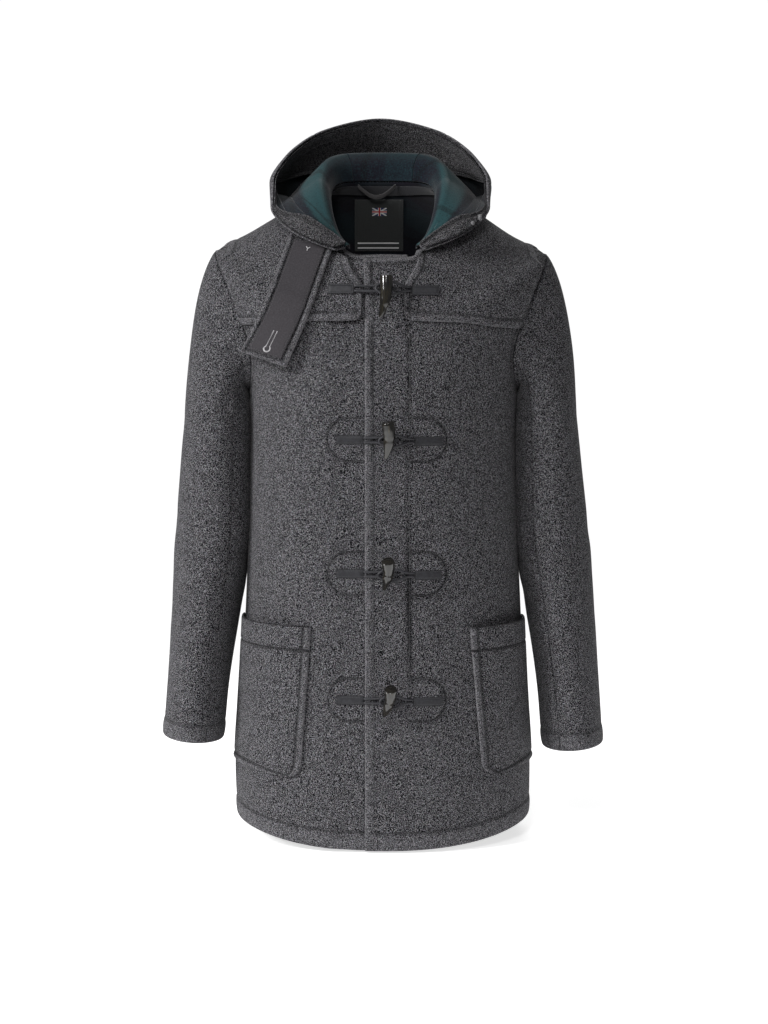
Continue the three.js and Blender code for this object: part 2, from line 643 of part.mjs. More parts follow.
// The throat tab hangs undone from the neck seam, over the right side of the yoke, with its lining outwards.
// Its end curls up, and its top is cut at a slant to follow the neck seam.
const THROAT_TAB = {
  topX: -98,
  topZ: -78,
  endX: -149,
  endZ: -214,
  width: 60,
  lift: 9.3,
  curl: 6,
  curlFrom: 0.6,
  slant: 14,
};
const TAB_LINING = { cloth: 1.2, inset: 7 };
function throatTab() {
  const { topX, topZ, endX, endZ, width, lift, curl, curlFrom, slant } = THROAT_TAB;
  const lean = Math.atan2(endX - topX, topZ - endZ);
  const place = (across, t, inset) => {
    const half = width / 2 - inset;
    const start = inset - (slant * (1 + across)) / 2;
    const along = lerp(start, Math.hypot(endX - topX, topZ - endZ) - inset, t);
    const x = topX + Math.sin(lean) * along + Math.cos(lean) * across * half;
    const z = topZ - Math.cos(lean) * along + Math.sin(lean) * across * half;
    return [x, z, curl * smooth((t - curlFrom) / (1 - curlFrom))];
  };
  const sheet = (inset, from, to) => (across, t) => {
    const [x, z, out] = place(across, t, inset);
    return [onFront(x, z, lift + out + to), onFront(x, z, lift + out + from)];
  };
  add("throat_tab", wall(even(5, -1, 1), even(8), sheet(0, 0, CLOTH)), WOOL);
  const lining = sheet(TAB_LINING.inset, CLOTH + SEAM, CLOTH + SEAM + TAB_LINING.cloth);
  add("throat_tab_lining", wall(even(5, -1, 1), even(8), lining), LINING);
}

// A patch pocket, sewn on at its sides and bottom and standing open a little at the top.
// cornerTurn is how much further back, as an angle, its outer edge ends at the bottom.
const POCKET = { mouth: 11, mouthRise: 1.5, corner: 20, cornerTurn: 0.06, rest: 0.4 };
const POCKET_ROWS = [0, 0.03, 0.07, 0.12, 0.3, 0.5, 0.7, 0.85, 1]; // close together at the rounded corner
const POCKETS = {
  right: { topIn: 95, bottomIn: 110, topZ: -570, bottomZ: -778, reach: 86 },
  left: { topIn: 115, bottomIn: 133, topZ: -572, bottomZ: -778, reach: 86 },
};
function pocket({ name, sign }) {
  const { topIn, bottomIn, topZ, bottomZ, reach } = POCKETS[name];
  const pair = (u, t) => {
    const height = (topZ - bottomZ) * t;
    const near = clamp(1 - height / POCKET.corner, 0, 1);
    const round = POCKET.corner * (1 - Math.sqrt(1 - near * near));
    const start = lerp(bottomIn, topIn, t) + round;
    const v = locate(0, bottomZ + height).v;
    const theta = lerp(angleAt(start, v), radians(reach) - POCKET.cornerTurn * near * near, u);
    const open = POCKET.rest + POCKET.mouth * Math.sin(Math.PI * u) * t ** POCKET.mouthRise;
    return [onTorso(sign * theta, v, open + CLOTH), onTorso(sign * theta, v, open)];
  };
  add(`pocket_${name}`, wall(even(9), POCKET_ROWS, pair), WOOL);
}

// The four fastenings, from the top. Each row gives the place of its cords, how far below them the toggle's
// middle hangs, how far its top and its tip stand off the cloth, how far the tip leans to the wearer's
// right, where the two straps start and end, and how much higher than the front the cords lie.
const FASTENINGS = tableOf(
  ["x", "z", "sag", "topOut", "tipOut", "lean", "rightFrom", "rightTo", "leftFrom", "leftTo", "lift"],
  [
    [4, -124, 13.5, 19.6, 10.5, 8, -72, -38, 38, 75, 5],
    [8, -320, 0, 21, 11, 3, -62, -26, 42, 80, 0],
    [7, -498, 0, 35.3, 6.3, 5, -62, -26, 42, 78, 0],
    [9, -667, 0, 35.3, 6.3, 9, -62, -26, 40, 80, 0],
  ],
);
// A toggle's length, its radius at the top and how that falls towards the tip, how far it is bowed, and the
// share of its length about which it leans.
const TOGGLE = { length: 50, top: 8.5, taper: [1, 1, 0.93, 0.86, 0.72, 0.5], tip: 2.2, bend: 3, leanAt: 0.4 };
const STRAP_SIZE = { height: 12.5, thick: 1.6, rest: { left: 0.4, right: 0.8 } };
const CORD_RADIUS = 1.7;

// The height of the cloth's face under a fastening's piece: the yoke, the upper front or the lower front.
const YOKE_TOP = YOKE_LIFT + CLOTH + 0.7; // with a spare 0.7 for the bend of the chest
function clothUnder(x, z) {
  if (Math.abs(x) > YOKE_FRONT.x && z > YOKE_LOW_Z) return YOKE_TOP;
  return x < PLACKET_EDGE ? -underlapInset(x) : 0;
}

function strap(side, number, from, to, z) {
  const { height, thick, rest } = STRAP_SIZE;
  const pair = (u, t) => {
    const x = lerp(from, to, u);
    const level = z + lerp(-height / 2, height / 2, t);
    const out = clothUnder(x, z) + rest[side];
    return [onFront(x, level, out + thick), onFront(x, level, out)];
  };
  add(`strap_${side}_${number}`, wall(even(4), even(1), pair), STRAP);
}

// A round cord or horn along a path, with a radius for each point. aside is a steady direction across it.
function rod(path, radii, around, aside) {
  return lofted(
    path.map((point, i) => {
      const before = path[Math.max(i - 1, 0)];
      const after = path[Math.min(i + 1, path.length - 1)];
      const along = after.clone().sub(before).normalize();
      const e1 = aside.clone().addScaledVector(along, -aside.dot(along)).normalize();
      const e2 = along.clone().cross(e1);
      return even(around)
        .slice(0, -1)
        .map((t) => {
          const turn = 2 * Math.PI * t;
          return point
            .clone()
            .addScaledVector(e1, radii[i] * Math.cos(turn))
            .addScaledVector(e2, radii[i] * Math.sin(turn));
        });
    }),
  );
}

function toggle(number, { x, z, sag, topOut, tipOut, lean, lift }) {
  const { length, top, taper, tip, bend, leanAt } = TOGGLE;
  const drop = Math.sqrt(length ** 2 - (topOut - tipOut) ** 2) / 2;
  const path = even(taper.length).map((t) => {
    const level = z - sag + lerp(drop, -drop, t);
    const out = lerp(topOut, tipOut, t) + lift;
    return onFront(x - lean * (t - leanAt) - bend * (2 * t - 1) ** 2, level, out);
  });
  const radii = [...taper.map((share) => top * share), tip];
  add(`toggle_${number}`, rod(path, radii, 9, vec(1, 0, 0)), HORN);
}

// The shares of a loop's reach where its strands part, have risen and turn into the bend, and how its
// points crowd together towards that bend
const LOOP = { apart: 0.1, rise: 0.5, bend: 0.75, crowding: 1.8, points: 14 };

// A cord doubled into a loop: two strands side by side from a strap, joined by a bend round the toggle.
function loop(name, { strapX, strapOut, bendX, bendOut, spread, z, gape }) {
  const away = Math.sign(bendX - strapX);
  const path = even(LOOP.points).map((t) => {
    const turn = 2 * t - 1;
    const reach = 1 - Math.abs(turn) ** LOOP.crowding;
    const x = lerp(strapX, bendX, reach);
    const bent = reach > LOOP.bend ? Math.sqrt((1 - reach) / (1 - LOOP.bend)) : 1;
    const wide = lerp(gape, spread, smooth((reach - LOOP.apart) / LOOP.rise)) * bent;
    const out = lerp(strapOut, bendOut, smooth(reach / LOOP.rise));
    return onFront(x, z + Math.sign(turn) * wide, out);
  });
  add(name, rod(path, path.map(() => CORD_RADIUS), 6, vec(0, -away, 0)), CORD);
}

// The two cords of a fastening: how far past the toggle's middle each bends, how wide its loop and its
// start at the strap are, and how much lower than the toggle it lies. The left one runs over the right one.
const CORDS = {
  rest: 0.7,
  right: { past: 11, spread: 3.4, gape: 3 },
  left: { past: -13, spread: 8, gape: 2.2, lower: 1, over: 2 * CORD_RADIUS + 0.6 },
};
const LEFT_STRAP_LOWER = 2;

function fastening(row, index) {
  const { x, z, rightFrom, rightTo, leftFrom, leftTo, lift } = row;
  const number = index + 1;
  strap("right", number, rightFrom, rightTo, z);
  strap("left", number, leftFrom, leftTo, z - LEFT_STRAP_LOWER);
  toggle(number, row);
  const resting = CORD_RADIUS + CORDS.rest;
  loop(`cord_right_${number}`, {
    strapX: rightTo + 2 * SEAM,
    strapOut: Math.max(clothUnder(rightTo, z), 0) + resting,
    bendX: x + CORDS.right.past,
    bendOut: lift + resting,
    spread: CORDS.right.spread,
    gape: CORDS.right.gape,
    z,
  });
  loop(`cord_left_${number}`, {
    strapX: leftFrom - 2 * SEAM,
    strapOut: clothUnder(leftFrom, z) + resting,
    bendX: x + CORDS.left.past,
    bendOut: lift + resting + CORDS.left.over,
    spread: CORDS.left.spread,
    gape: CORDS.left.gape,
    z: z - CORDS.left.lower,
  });
}

// Pieces on the inside of the back neck, placed by x and z on the back's inner face
const onBack = (x, z, out) => {
  const { theta, v } = locate(x, z, true);
  return onTorso(theta, v, out - CLOTH);
};

const NECK_TAPE = { reach: 58, low: 0.983, high: 0.996, thick: 1.2 };
const LABEL_SIZE = { left: -40, right: 29, low: -70, high: 2, off: 0.8, thick: 1.2 };
const HANGER = { left: -36, right: 18, top: 17, sag: 12, half: 3, off: 2.8, slack: 7, thick: 1.5 };

function neckTrim() {
  const strip = (u, t) => {
    const theta = Math.PI - lerp(-1, 1, u) * radians(NECK_TAPE.reach);
    const v = lerp(NECK_TAPE.low, NECK_TAPE.high, t);
    const out = -CLOTH - LAID;
    return [onTorso(theta, v, out), onTorso(theta, v, out - NECK_TAPE.thick)];
  };
  add("neck_tape", wall(even(14), even(1), strip), TAPE);
  const patch = (u, t) => {
    const x = lerp(LABEL_SIZE.left, LABEL_SIZE.right, u);
    const z = lerp(LABEL_SIZE.low, LABEL_SIZE.high, t);
    return [onBack(x, z, -LABEL_SIZE.off), onBack(x, z, -LABEL_SIZE.off - LABEL_SIZE.thick)];
  };
  add("label", wall(even(6), even(3), patch), LABEL);
  const hanger = (u, t) => {
    const x = lerp(HANGER.left, HANGER.right, u);
    const slack = Math.sin(Math.PI * u);
    const z = HANGER.top - HANGER.sag * slack + lerp(-HANGER.half, HANGER.half, t);
    const out = -HANGER.off - HANGER.slack * slack;
    return [onBack(x, z, out), onBack(x, z, out - HANGER.thick)];
  };
  add("hanging_loop", wall(even(10), even(1), hanger), TAPE);
}

SIDES.forEach(front);
back();
SIDES.forEach(sleeve);
yoke();
hood();
throatTab();
SIDES.forEach(pocket);
FASTENINGS.forEach(fastening);
neckTrim();

export default coat;
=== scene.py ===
import math

import bpy
import numpy as np
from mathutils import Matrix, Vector


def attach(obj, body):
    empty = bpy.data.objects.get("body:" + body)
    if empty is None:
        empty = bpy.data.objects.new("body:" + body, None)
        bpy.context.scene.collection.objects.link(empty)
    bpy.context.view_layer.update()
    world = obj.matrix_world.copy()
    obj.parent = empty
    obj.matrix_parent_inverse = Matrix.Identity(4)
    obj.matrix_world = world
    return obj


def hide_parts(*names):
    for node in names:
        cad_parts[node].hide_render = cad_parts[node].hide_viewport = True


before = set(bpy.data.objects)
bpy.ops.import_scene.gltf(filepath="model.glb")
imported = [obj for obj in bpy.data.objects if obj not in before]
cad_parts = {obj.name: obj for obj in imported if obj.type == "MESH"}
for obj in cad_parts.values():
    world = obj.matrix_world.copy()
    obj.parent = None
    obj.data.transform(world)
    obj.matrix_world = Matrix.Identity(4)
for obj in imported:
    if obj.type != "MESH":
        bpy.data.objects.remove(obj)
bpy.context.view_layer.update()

# The two fronts
# Each is cut in one piece from heavy double-faced coating: charcoal melange outside, a dark check
# inside. The left front laps over the right one. Free edges are turned and topstitched, and the
# cloth is doubled behind each fastening inside a stitched round-ended patch.

CLOTH = 3.0          # thickness of the coating, mm
SEAM = 0.3           # gap between two edges that are sewn together
LAID = 1.0
STEP = 1e-3
PLACKET_EDGE = -24.0
UNDERLAP_EDGE = 35.0
PLACKET_STITCH = 35.0
NECK_END = 46.0
YOKE_LOW_Z = -163.0
TURN = 11.0          # width of a turned and stitched edge
HEM = 24.0
ARMHOLE_STITCH = 8.0
FASTENING_Z = (-124.0, -320.0, -498.0, -667.0)


def smooth(t):
    t = np.clip(t, 0, 1)
    return t * t * (3 - 2 * t)


def lerp(a, b, t):
    return a + (b - a) * t


def bell(t):
    return np.exp(-t * t)


def unit(vectors):
    return vectors / np.maximum(np.linalg.norm(vectors, axis=-1, keepdims=True), 1e-12)


def point(x, y, z):
    return np.stack(np.broadcast_arrays(x, y, z), axis=-1).astype(float)


def through(knots, values):
    """A smooth curve through the values that never overshoots them."""
    knots, values = np.array(knots, float), np.array(values, float)
    rise = np.diff(values) / np.diff(knots)
    slope = np.concatenate([rise[:1], np.zeros(len(rise) - 1), rise[-1:]])
    for i in range(1, len(rise)):
        before, after = rise[i - 1], rise[i]
        if before * after > 0:
            slope[i] = 2 * before * after / (before + after)

    def read(at):
        t = np.clip(at, knots[0], knots[-1])
        i = np.clip(np.searchsorted(knots, t, side="right") - 1, 0, len(knots) - 2)
        span = knots[i + 1] - knots[i]
        s = (t - knots[i]) / span
        return (
            (2 * s**3 - 3 * s**2 + 1) * values[i]
            + (s**3 - 2 * s**2 + s) * span * slope[i]
            + (3 * s**2 - 2 * s**3) * values[i + 1]
            + (s**3 - s**2) * span * slope[i + 1]
        )

    return read


class Table:
    """Named columns read smoothly along the first one."""

    def __init__(self, names, rows):
        columns = dict(zip(names.split(), zip(*rows)))
        knots = columns.pop(names.split()[0])
        for name, values in columns.items():
            setattr(self, name, through(knots, values))


torso = Table(
    "v half_width side_z front_y front_z back_y back_z square dip",
    (
        (0.0, 202, -846, -150, -871, 152, -862, 2.3, 0),
        (0.08, 204, -776, -149, -788, 150, -785, 2.3, 0),
        (0.18, 199, -690, -147, -696, 145, -695, 2.3, 0),
        (0.34, 189, -555, -143, -557, 137, -557, 2.3, 0),
        (0.49, 184, -426, -139, -426, 130, -426, 2.3, 0),
        (0.62, 182, -322, -139, -322, 130, -320, 2.3, 0),
        (0.69, 184, -262, -138, -266, 132, -262, 2.3, 0),
        (0.76, 194, -200, -136, -222, 134, -204, 2.3, 0),
        (0.82, 211, -142, -132, -189, 132, -150, 2.25, 0),
        (0.88, 229, -72, -126, -154, 126, -95, 2.2, 0),
        (0.895, 206.5, -64.5, -124, -146, 122, -81, 2.2, 0),
        (0.912, 185, -56, -122, -136, 116, -65, 2.2, 1),
        (0.95, 138, -31, -113, -112, 96, -28, 2.25, 4),
        (0.98, 98, -10, -105, -89, 78, 4, 2.35, 10),
        (1.0, 73, 0, -98, -74, 65, 24, 2.5, 13.5),
    ),
)
LEFT_SHOULDER = {"drop": 5, "inward": 5}
ARMHOLE = {"low": 0.69, "high": 0.88, "front": math.radians(25), "back": math.radians(24)}


def torso_point(theta, v):
    """The coat's form at an angle from the centre front and a level from hem to neck."""
    s, c = np.sin(theta), np.cos(theta)
    power = 2 / torso.square(v)
    x = torso.half_width(v) * np.sign(s) * np.abs(s) ** power
    y = np.where(c > 0, torso.front_y(v), torso.back_y(v)) * np.abs(c) ** power
    front, back, side = torso.front_z(v), torso.back_z(v), torso.side_z(v)
    ends = (front + back) / 2
    z = (ends + side) / 2 + (front - back) / 2 * c + (ends - side) / 2 * np.cos(2 * theta)
    z = z - np.where(c > 0, torso.dip(v) * c * (c - np.cos(3 * theta)), 0)
    lean = smooth((v - 0.66) / 0.16) * (1 - smooth((v - 0.9) / 0.1)) * smooth(s)
    return point(x - LEFT_SHOULDER["inward"] * lean, y, z - LEFT_SHOULDER["drop"] * lean)


def torso_normal(theta, v):
    around = torso_point(theta + STEP, v) - torso_point(theta - STEP, v)
    up = torso_point(theta, np.minimum(v + STEP, 1)) - torso_point(theta, np.maximum(v - STEP, 0))
    return unit(np.cross(around, up))


def angle_at(x, v, back=False):
    share = np.clip(np.abs(x) / torso.half_width(v), 0, 1)
    theta = np.arcsin(share ** (torso.square(v) / 2))
    return np.sign(x) * (np.pi - theta if back else theta)


def locate(x, z, back=False):
    """The angle and level of the place that a front or back view shows at x and z."""
    x, z = np.broadcast_arrays(np.asarray(x, float), np.asarray(z, float))
    low, high = np.zeros(x.shape), np.ones(x.shape)
    for _ in range(34):
        v = (low + high) / 2
        below = torso_point(angle_at(x, v, back), v)[..., 2] < z
        low, high = np.where(below, v, low), np.where(below, high, v)
    v = (low + high) / 2
    return angle_at(x, v, back), v


def on_front(x, z, out):
    theta, v = locate(x, z)
    return torso_point(theta, v) + torso_normal(theta, v) * np.asarray(out, float)[..., None]


def stations(length, step, lines=(), spans=()):
    """Shares of a length, a step apart, closer at both ends, round each line and inside each span."""
    at = list(np.linspace(0, length, max(int(length / step), 2) + 1))
    edge = (0.25, 0.8, 1.6, 2.8)
    at += [e for e in edge] + [length - e for e in edge]
    for line in lines:
        at += [line + d for d in (-2.6, -1.2, 0, 1.2, 2.6)]
    for start, end, fine in spans:
        at += list(np.arange(start, end, fine))
    at = sorted(a for a in at if 0 <= a <= length)
    kept = [at[0]]
    for a in at[1:]:
        if a - kept[-1] > 0.2:
            kept.append(a)
    kept[-1] = length
    return np.array(kept) / length


def mesh_object(name, vertices, faces, materials, looks=None, attributes=None):
    """A smooth mesh in metres from points in millimetres, riding on the coat."""
    mesh = bpy.data.meshes.new(name)
    mesh.from_pydata((np.asarray(vertices) / 1000).tolist(), [], [list(map(int, f)) for f in faces])
    for material in materials:
        mesh.materials.append(material)
    mesh.polygons.foreach_set("use_smooth", [True] * len(faces))
    if looks is not None:
        mesh.polygons.foreach_set("material_index", list(map(int, looks)))
    for key, values in (attributes or {}).items():
        layer = mesh.attributes.new(key, "FLOAT_VECTOR", "POINT")
        layer.data.foreach_set("vector", np.asarray(values, np.float32).ravel())
    piece = bpy.data.objects.new(name, mesh)
    bpy.context.scene.collection.objects.link(piece)
    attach(piece, "root")
    return piece


def lengths_from(points, axis):
    """How far each grid point is from both ends of its row or column, over the surface."""
    steps = np.linalg.norm(np.diff(points, axis=axis), axis=-1)
    start = np.concatenate([np.zeros_like(np.take(steps, [0], axis=axis)), np.cumsum(steps, axis=axis)], axis=axis)
    total = np.take(start, [-1], axis=axis)
    return start, total - start


PUFF = 1.3           # how far a turned edge swells
GROOVE = 1.3         # how deep a row of stitching pulls in


class Panel:
    """A cut piece of cloth over a grid of points and normals, with rounded edges all round."""

    def __init__(
        self, name, points, normals, thick, materials,
        turned=None, relief=None, sewn=None, seams=None, puff=PUFF, sunk=0.8,
    ):
        self.left, self.right = lengths_from(points, 1)
        self.low, self.high = lengths_from(points, 0)
        distances = {"left": self.left, "right": self.right, "low": self.low, "high": self.high}
        self.normals = normals
        self.edge = np.minimum.reduce(list(distances.values()))
        lift, groove_and_shade, raised_highlight_and_wear = (np.zeros(self.edge.shape) for _ in range(3))
        folded = np.zeros(self.edge.shape, bool)
        # Painted shade: edges sewn to another piece, stitch rows and sewn lines sink into a groove and are also
        # darkened in colour, standing in for the shade in the groove.
        for side in set(distances) - set(turned or {}):
            groove_and_shade = np.maximum(groove_and_shade, (seams or {}).get(side, 0.9) * bell(distances[side] / 1.7))
        for side, width in (turned or {}).items():
            d = distances[side]
            folded |= d < width
            others = np.minimum.reduce([distances[k] for k in (turned or {}) if k != side] + [np.full(d.shape, 1e3)])
            share = np.clip(d / width, 0, 1)
            within = smooth(others / (0.8 * width)) if len(turned) > 1 else 1
            swell = np.sin(np.pi * share) ** 0.6 * (d < width) * np.where(others < width, 0.6, 1)
            lift = lift + puff * swell
            # Painted highlight, mixed with rubbing wear: the colour is paled over each turned edge's swell and along
            # its fold, where the light catches.
            raised_highlight_and_wear = np.maximum(raised_highlight_and_wear, np.maximum(0.35 * swell, 1 - smooth(d / 3.2)))
            groove_and_shade = np.maximum(groove_and_shade, sunk * bell((d - width) / 1.9) * within)
        if sewn is not None:
            groove_and_shade = np.maximum(groove_and_shade, sewn)
        raised_highlight_and_wear = raised_highlight_and_wear * (1 - groove_and_shade)
        lift = lift - GROOVE * groove_and_shade
        if relief is not None:
            lift = lift + relief
        radius = thick / 2
        inside = np.clip(self.edge / radius, 0, 1)
        half = radius * np.sqrt(1 - (1 - inside) ** 2)
        middle = points - normals * radius
        self.face = middle + normals * (half + lift * smooth(self.edge / 2))[..., None]
        lining = middle - normals * (half - 0.5 * lift * smooth(self.edge / 2))[..., None]
        rows, columns = self.edge.shape
        outer = np.arange(rows * columns).reshape(rows, columns)
        inner = np.full((rows, columns), -1)
        rim = np.zeros((rows, columns), bool)
        rim[0], rim[-1], rim[:, 0], rim[:, -1] = True, True, True, True
        inner[~rim] = rows * columns + np.arange((~rim).sum())
        inner[rim] = outer[rim]

        def quads(index):
            corners = (index[:-1, :-1], index[:-1, 1:], index[1:, 1:], index[1:, :-1])
            return np.stack([c.ravel() for c in corners], axis=1)

        a, b, d = (0, 0), (0, 1), (1, 0)
        middle_row, middle_column = rows // 2, columns // 2
        here = points[middle_row, middle_column]
        turn = np.cross(points[middle_row, middle_column + 1] - here, points[middle_row + 1, middle_column] - here)
        front, reverse = quads(outer), quads(inner)
        if np.dot(turn, normals[middle_row, middle_column]) > 0:
            reverse = reverse[:, ::-1]
        else:
            front = front[:, ::-1]
        vertices = np.concatenate([self.face.reshape(-1, 3), lining[~rim]])
        cut = np.stack([self.left, self.low, self.edge], axis=-1)
        cuts = np.concatenate([cut.reshape(-1, 3), cut[~rim]])
        # The painted shade and the painted highlight with wear go to the wool's colour, on the outer face only.
        wear = np.stack([groove_and_shade, raised_highlight_and_wear, 0 * raised_highlight_and_wear], axis=-1)
        painted_lights_and_wear = np.concatenate([wear.reshape(-1, 3), 0 * wear[~rim]])
        inside_look = np.where(folded[:-1, :-1].ravel(), 0, len(materials) - 1)
        looks = np.concatenate([np.zeros(len(front), int), inside_look])
        faces = np.concatenate([front, reverse])
        self.piece = mesh_object(name, vertices, faces, materials, looks, {"cut": cuts, "wear": painted_lights_and_wear})

    def note(self, name, first, second):
        """Keep two more values of the grid on both faces, for the materials to read."""
        values = np.stack([first, second, 0 * first], axis=-1)
        both = np.concatenate([values.reshape(-1, 3), values[1:-1, 1:-1].reshape(-1, 3)])
        layer = self.piece.data.attributes.new(name, "FLOAT_VECTOR", "POINT")
        layer.data.foreach_set("vector", both.astype(np.float32).ravel())

    def line(self, side, inset, start=0.0, end=0.0):
        """Points and normals of the line that runs a distance in from one edge, short of the corners."""
        distance = getattr(self, side)
        points, normals, keep = self.face, self.normals, (self.left, self.right)
        if side in ("left", "right"):
            distance, points, normals = distance.T, points.swapaxes(0, 1), normals.swapaxes(0, 1)
            keep = (self.low.T, self.high.T)
        if side in ("right", "high"):
            distance, points, normals = distance[::-1], points[::-1], normals[::-1]
            keep = tuple(k[::-1] for k in keep)
        found = []
        for i in range(distance.shape[1]):
            j = int(np.searchsorted(distance[:, i], inset))
            if not 0 < j < distance.shape[0] or keep[0][j, i] < start or keep[1][j, i] < end:
                continue
            t = (inset - distance[j - 1, i]) / (distance[j, i] - distance[j - 1, i])
            found.append((lerp(points[j - 1, i], points[j, i], t), normals[j, i]))
        return np.array([f[0] for f in found]), np.array([f[1] for f in found])


class Socket:
    """A shader value or colour that can be written in an expression."""

    def __init__(self, tree, link):
        self.tree, self.link = tree, link

    def node(self, kind, settings=None, output=0, **values):
        made = self.tree.nodes.new(kind)
        for key, value in (settings or {}).items():
            if key == "stops":
                ramp = made.color_ramp.elements
                while len(ramp) < len(value):
                    ramp.new(0.5)
                for stop, (position, colour) in zip(ramp, value):
                    stop.position, stop.color = position, (*colour, 1)
            else:
                setattr(made, key, value)
        for key, value in values.items():
            name = int(key[1:]) if key[0] == "i" and key[1:].isdigit() else key.replace("_", " ")
            socket = made.inputs[name]
            if isinstance(value, Socket):
                self.tree.links.new(value.link, socket)
            else:
                socket.default_value = value
        return Socket(self.tree, made.outputs[output])

    def math(self, operation, other=0.0, clamp=False):
        return self.node("ShaderNodeMath", {"operation": operation, "use_clamp": clamp}, i0=self, i1=other)

    def __add__(self, other):
        return self.math("ADD", other)

    __radd__ = __add__

    def __sub__(self, other):
        return self.math("SUBTRACT", other)

    def __rsub__(self, other):
        return self * -1.0 + other

    def __mul__(self, other):
        return self.math("MULTIPLY", other)

    __rmul__ = __mul__

    def __truediv__(self, other):
        return self.math("DIVIDE", other)

    def ramp(self, low, high):
        """0 below low, 1 above high, smooth between."""
        return self.node(
            "ShaderNodeMapRange", {"interpolation_type": "SMOOTHSTEP", "clamp": True}, Value=self,
            From_Min=low, From_Max=high,
        )

    def mix(self, one, other, blend="MIX"):
        """This value blends one colour into the other."""
        colours = [c if isinstance(c, Socket) else (*c, 1) for c in (one, other)]
        return self.node(
            "ShaderNodeMix", {"data_type": "RGBA", "blend_type": blend}, 2, i0=self, i6=colours[0], i7=colours[1]
        )

    def parts(self):
        split = self.tree.nodes.new("ShaderNodeSeparateXYZ")
        self.tree.links.new(self.link, split.inputs[0])
        return [Socket(self.tree, out) for out in split.outputs]


class Finish:
    """A material with its principled shader, the places on the piece and one way to set each socket."""

    def __init__(self, name, **fixed):
        self.material = bpy.data.materials.new(name)
        self.material.use_nodes = True
        self.tree = self.material.node_tree
        self.shader = self.tree.nodes["Principled BSDF"]
        for key, value in fixed.items():
            self.shader.inputs[key.replace("_", " ")].default_value = value
        self.place = Socket(self.tree, self.tree.nodes.new("ShaderNodeTexCoord").outputs["Object"])

    def attribute(self, name):
        return self.place.node("ShaderNodeAttribute", {"attribute_name": name}, "Vector")

    def noise(self, scale, detail=2.0, roughness=0.5, place=None, output=0):
        return self.place.node(
            "ShaderNodeTexNoise", output=output, Vector=place or self.place,
            Scale=scale, Detail=detail, Roughness=roughness,
        )

    def bump(self, height, strength, distance):
        return self.place.node(
            "ShaderNodeBump", Height=height, Strength=strength, Distance=distance
        )

    def feed(self, **links):
        for key, value in links.items():
            self.tree.links.new(value.link, self.shader.inputs[key.replace("_", " ")])
        return self.material


def melange(name, dark, middle, light, contrast=1.0):
    """Felted wool spun from dark, grey and pale fibres, with painted shade darkening the stitched grooves and seams and
    a painted highlight, mixed with rubbing wear, paling the raised turned edges.
    """
    wool = Finish(name, Sheen_Weight=0.06, Sheen_Roughness=0.5, IOR=1.35, Specular_IOR_Level=0.15)
    tufts = wool.noise(980, 1.5, 0.55)
    fibres = wool.noise(1900, 1.0, 0.5)
    slubs = wool.noise(150, 2, 0.5)
    speck = tufts * 0.75 + fibres * 0.25 + (slubs - 0.5) * 0.03
    pale = speck.ramp(0.515, 0.515 + 0.06 / contrast)
    deep = 1 - speck.ramp(0.50 - 0.06 / contrast, 0.50)
    colour = deep.mix(pale.mix(middle, light), dark)
    tint = wool.noise(520, 1, 0.5, output=1)
    colour = wool.place.node(
        "ShaderNodeMix", {"data_type": "RGBA", "blend_type": "OVERLAY"}, 2, i0=0.14, i6=colour, i7=tint
    )
    # Painted shade in the grooves and a painted highlight with wear along the raised edges, read from the mesh.
    groove_and_shade, raised_highlight_and_wear, _ = wool.attribute("wear").parts()
    patchy_highlight_and_wear = raised_highlight_and_wear * 0.5 * wool.noise(330, 2, 0.6).ramp(0.3, 0.65)
    colour = (groove_and_shade * 0.9).mix(patchy_highlight_and_wear.mix(colour, light), dark)
    return wool.feed(
        Base_Color=colour,
        Roughness=0.86 + 0.12 * fibres,
        Normal=wool.bump(tufts + fibres * 0.6, 0.5, 0.0010),
    )


def check(name, ground, green, line, sett, hood=False):
    """The dark check of the cloth's inner face, softened by its own nap. In the hood, the teal is painted only on the
    turned fold and dimmed toward the back: painted shade over the rest of the hood's inside.
    """
    wool = Finish(name, Sheen_Weight=0.15, Sheen_Roughness=0.5, IOR=1.35, Specular_IOR_Level=0.15)
    across, along, _ = wool.attribute("cut").parts()
    wander = (wool.noise(70, 2) - 0.5) * 3

    def bands(coordinate):
        turn = (coordinate + wander + sett * 0.15).math("MODULO", sett) / sett
        wide = turn.ramp(0.06, 0.12) * (1 - turn.ramp(0.48, 0.54))
        thin = turn.ramp(0.70, 0.72) * (1 - turn.ramp(0.78, 0.80))
        return wide, thin

    wide_u, thin_u = bands(across)
    wide_w, thin_w = bands(along)
    teal = wide_u * 0.5 + wide_w * 0.5
    # Painted shade in the hood: the full check is kept faint, the teal shows only on the turned fold, and it dims
    # toward the back middle where the fold lies in shade.
    if hood:
        angle, share, _ = wool.attribute("round").parts()
        behind = 1 - ((angle - 180).math("ABSOLUTE") + wander).ramp(55, 80)
        lit_fold_teal = (share + wander * 0.004).ramp(0.085, 0.12) * (1 - share.ramp(0.27, 0.36))
        teal = lit_fold_teal * (1 - behind * 0.75) + wide_w * wide_u * 0.15
    black = (thin_u * 0.6 + thin_w * 0.6).math("MINIMUM", 1.0)
    fibres = wool.noise(520, 2, 0.6)
    colour = teal.mix(ground, green)
    colour = (black * 0.8).mix(colour, line)
    colour = (fibres.ramp(0.45, 0.7) * 0.35).mix(colour, green)
    colour = ((1 - fibres.ramp(0.3, 0.5)) * 0.5).mix(colour, line)
    return wool.feed(
        Base_Color=colour,
        Roughness=0.9 + 0.08 * fibres,
        Normal=wool.bump(fibres + wool.noise(1900, 2) * 0.6, 0.5, 0.0008),
    )


WOOL = melange("wool_melange", (0.001, 0.001, 0.0015), (0.016, 0.0155, 0.0185), (0.235, 0.23, 0.245))
